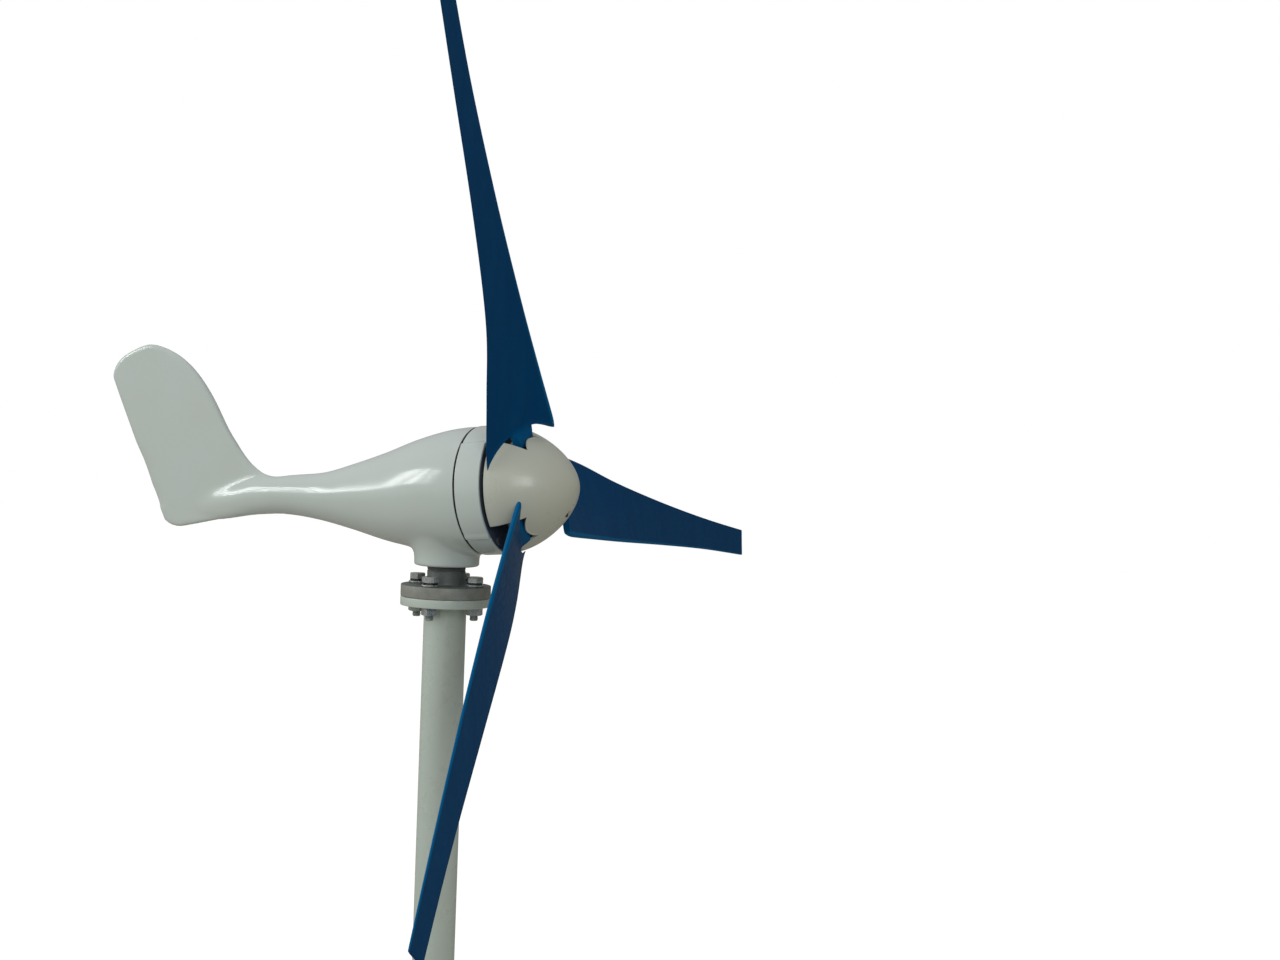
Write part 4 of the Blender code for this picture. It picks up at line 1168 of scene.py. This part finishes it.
def tab_loops():
    """The mounting tab: flat on the hub, turning into the blade's pitch at its root."""
    half = TAB_HALF_DEEP
    step = 7.0
    soft = 1.0
    stations = [
        (30.0, 0.0, half),
        (51.5, 0.0, half),
        (52.5, 0.0, half + 1.6),
        (54.5, 0.0, step - 0.3),
        (57.0, 0.0, step),
        (61.0, 0.0, step),
        (65.0, 5.0, 5.8),
        (69.0, 12.0, half),
        (74.0, 17.0, 2.8),
        (80.0, 20.5, half / 2.0),
    ]
    loops = []
    for radius, pitch, front in stations:
        turn = math.radians(pitch)
        lift = max(radius - 59.0, 0.0) * math.sin(BLADE_CONE) * 2.0
        loop = []
        for side, up in ((-1.0, -1.0), (1.0, -1.0), (1.0, 1.0), (-1.0, 1.0)):
            for shift in ((0.0, 1.0), (1.0, 0.0)) if side * up > 0.0 else ((1.0, 0.0), (0.0, 1.0)):
                wide = side * (TAB_HALF - soft * shift[0])
                deep = up * ((front if up > 0.0 else half) - soft * shift[1])
                y = wide * math.cos(turn) - deep * math.sin(turn)
                z = -wide * math.sin(turn) + deep * math.cos(turn)
                loop.append(Vector((radius, y, BLADE_AXIS_AT + lift + z)))
        loops.append(loop)
    return loops


def station_at(radius):
    """(leading edge offset, trailing edge offset, pitch in radians) of the blade at a radius."""
    rows = BLADE_STATIONS
    for inner, outer in zip(rows, rows[1:]):
        if radius <= outer[0]:
            share = max(0.0, (radius - inner[0]) / (outer[0] - inner[0]))
            values = [a + (b - a) * share for a, b in zip(inner, outer)]
            return values[1], values[2], math.radians(values[3])
    return rows[-1][1], rows[-1][2], math.radians(rows[-1][3])


def mark_painted_edge_light(mesh):
    """Stores a painted-highlight share for each point: how near it is to the rounded leading edge, and the root
    near the hub, for a brighter blue.
    """
    mark = mesh.attributes.new("painted_edge_light", "FLOAT", "POINT")
    for vertex, value in zip(mesh.vertices, mark.data):
        x, y, z = (part / MM for part in vertex.co)
        leading, trailing, pitch = station_at(x)
        height = z - BLADE_AXIS_AT - x * math.sin(BLADE_CONE)
        offset = -y * math.cos(pitch) + height * math.sin(pitch)
        along = (leading - offset) / (leading + trailing)
        share = limited((PAINTED_LIGHT_BAND[1] - along) / (PAINTED_LIGHT_BAND[1] - PAINTED_LIGHT_BAND[0]))
        inside = limited((ROOT_RADIUS + 4.0 - math.hypot(x, y)) / 8.0)
        # Painted highlight on the leading edge's strip outside the tab, and on the root near the hub at up to
        # 0.55.
        value.value = max(share if abs(y) > TAB_HALF else 0.0, 0.55 * inside)


def blades():
    """Three alike blades: the twisted wing trimmed round the hub, joined to its drilled tab."""
    profile = [(0.0, 170.0), (ROOT_RADIUS, 170.0), (ROOT_RADIUS, 60.0), (0.0, 60.0)]
    wing = rings_mesh("wing", blade_loops(), sharp=50.0)
    trimmed = cut("trimmed", wing, [turned("trim", profile, 256, 0.0)])
    body = loose("blade_blank", trimmed)
    boolean(body, loose("tab", rings_mesh("tab", tab_loops())), "UNION")
    for side in ROOT_BOLT_SIDES:
        hole = drill(ROOT_BOLT_AT, side, ROOT_BOLT_HOLE, 70.0, 140.0)
        boolean(body, loose("tab_drill", hole))
    mesh = applied(body, 42.0)
    mark_painted_edge_light(mesh)
    for index, angle in enumerate(BLADE_ANGLES):
        copy = mesh.copy()
        copy.transform(Matrix.Rotation(math.radians(angle), 4, "Z"))
        on_axis(f"vane_{index + 1}", copy, "rotor", "blade_plastic", [f"blade_{index + 1}"])


# -------- surroundings

FLOOR_HALF = 14.0
FLOOR_BOUNCE = (0.48, 0.46, 0.41)
FLOOR_GLOW = 0.80
WHITE = (1.0, 1.0, 1.0)
# The room is brightest to the upper left of the camera; grey levels from the far side to there.
BRIGHT_WAY = (-0.62, -0.38, 0.68)
SKY_STOPS = [(0.0, 0.10), (0.45, 0.26), (0.62, 0.42), (1.0, 0.62)]

# (name, place, width and height, power, colour); they all face LIGHT_AIM.
LIGHT_AIM = Vector((-0.15, 0.0, 1.12))
DAYLIGHT = (0.97, 1.0, 0.99)
LIGHTS = [
    ("window_narrow", (-2.20, -2.10, 2.25), (0.20, 1.1), 4.0, DAYLIGHT),
    ("window_left", (-2.70, -1.38, 2.15), (0.34, 1.1), 10.5, DAYLIGHT),
    ("window_middle", (-2.47, -1.76, 2.25), (0.22, 1.1), 8.0, DAYLIGHT),
    ("window_right", (1.95, -2.25, 2.10), (1.0, 1.0), 15.5, DAYLIGHT),
    ("overhead", (-0.4, 0.2, 4.2), (2.6, 2.6), 5.2, WHITE),
]

CAMERA_PLACE = Vector((1.23545, -2.30768, 1.24696))
CAMERA_TARGET = Vector((0.23592, 0.0, 1.14497))
CAMERA_ROLL = math.radians(2.151)
CAMERA_LENS = 64.55
CAMERA_SENSOR = 36.0
CAMERA_REACH = 60.0


def turn_towards(way):
    return way.to_track_quat("-Z", "Y")


def seen_apart(tree, seen, lit, output):
    """The camera meets one shader, and the light on the object comes from the other."""
    path = node(tree, "ShaderNodeLightPath")
    blend = node(tree, "ShaderNodeMixShader", Fac=path.outputs["Is Camera Ray"])
    tree.links.new(lit, blend.inputs[1])
    tree.links.new(seen, blend.inputs[2])
    tree.links.new(blend.outputs["Shader"], tree.nodes[output].inputs["Surface"])


def pale_floor():
    """A plain floor that looks as white as the backdrop and bounces a soft warm light."""
    mesh = bpy.data.meshes.new("floor")
    half = FLOOR_HALF
    corners = [(-half, -half, 0.0), (half, -half, 0.0), (half, half, 0.0), (-half, half, 0.0)]
    mesh.from_pydata(corners, [], [(0, 1, 2, 3)])
    floor = loose("floor", mesh)
    material, tree, shader = start_material("floor", FLOOR_BOUNCE, 0.95)
    glow = node(tree, "ShaderNodeEmission", Color=(*WHITE, 1.0), Strength=FLOOR_GLOW)
    both = node(tree, "ShaderNodeAddShader")
    tree.links.new(shader.outputs["BSDF"], both.inputs[0])
    tree.links.new(glow.outputs["Emission"], both.inputs[1])
    seen_apart(tree, both.outputs["Shader"], shader.outputs["BSDF"], "Material Output")
    mesh.materials.append(material)


def room():
    """A white backdrop for the camera, and for the object a sky that is brighter on one side."""
    world = bpy.data.worlds.new("studio")
    bpy.context.scene.world = world
    world.use_nodes = True
    tree = world.node_tree
    backdrop = tree.nodes["Background"]
    backdrop.inputs["Color"].default_value = (*WHITE, 1.0)
    sky = node(tree, "ShaderNodeBackground")
    source = node(tree, "ShaderNodeTexCoord")
    facing = node(tree, "ShaderNodeVectorMath", operation="DOT_PRODUCT")
    facing.inputs[1].default_value = BRIGHT_WAY
    tree.links.new(source.outputs["Generated"], facing.inputs[0])
    spread = node(tree, "ShaderNodeMapRange", Value=facing.outputs["Value"])
    spread.inputs["From Min"].default_value = -1.0
    tree.links.new(ramp(tree, spread.outputs["Result"], SKY_STOPS), sky.inputs["Color"])
    seen = backdrop.outputs["Background"]
    seen_apart(tree, seen, sky.outputs["Background"], "World Output")
    bpy.context.scene.view_settings.view_transform = "Standard"


def lights():
    """Soft windows on the camera's side and a faint overhead panel."""
    for name, place, size, power, colour in LIGHTS:
        data = bpy.data.lights.new(name, "AREA")
        data.shape = "RECTANGLE"
        data.size, data.size_y = size
        data.energy = power
        data.color = colour
        lamp = loose(name, data)
        lamp.location = place
        lamp.rotation_euler = turn_towards(LIGHT_AIM - Vector(place)).to_euler()


def camera():
    data = bpy.data.cameras.new("camera")
    data.lens = CAMERA_LENS
    data.sensor_width = CAMERA_SENSOR
    data.clip_end = CAMERA_REACH
    view = loose("camera", data)
    turn = turn_towards(CAMERA_TARGET - CAMERA_PLACE).to_matrix().to_4x4()
    roll = Matrix.Rotation(CAMERA_ROLL, 4, "Z")
    view.matrix_world = Matrix.Translation(CAMERA_PLACE) @ turn @ roll
    bpy.context.scene.camera = view


paint_cad_nodes()
mast_tube()
mast_flanges()
spindle()
flange_fasteners()
nacelle_shell()
gasket()
housing_ring()
dark_cover()
spinner()
hub()
blades()
pale_floor()
room()
lights()
camera()
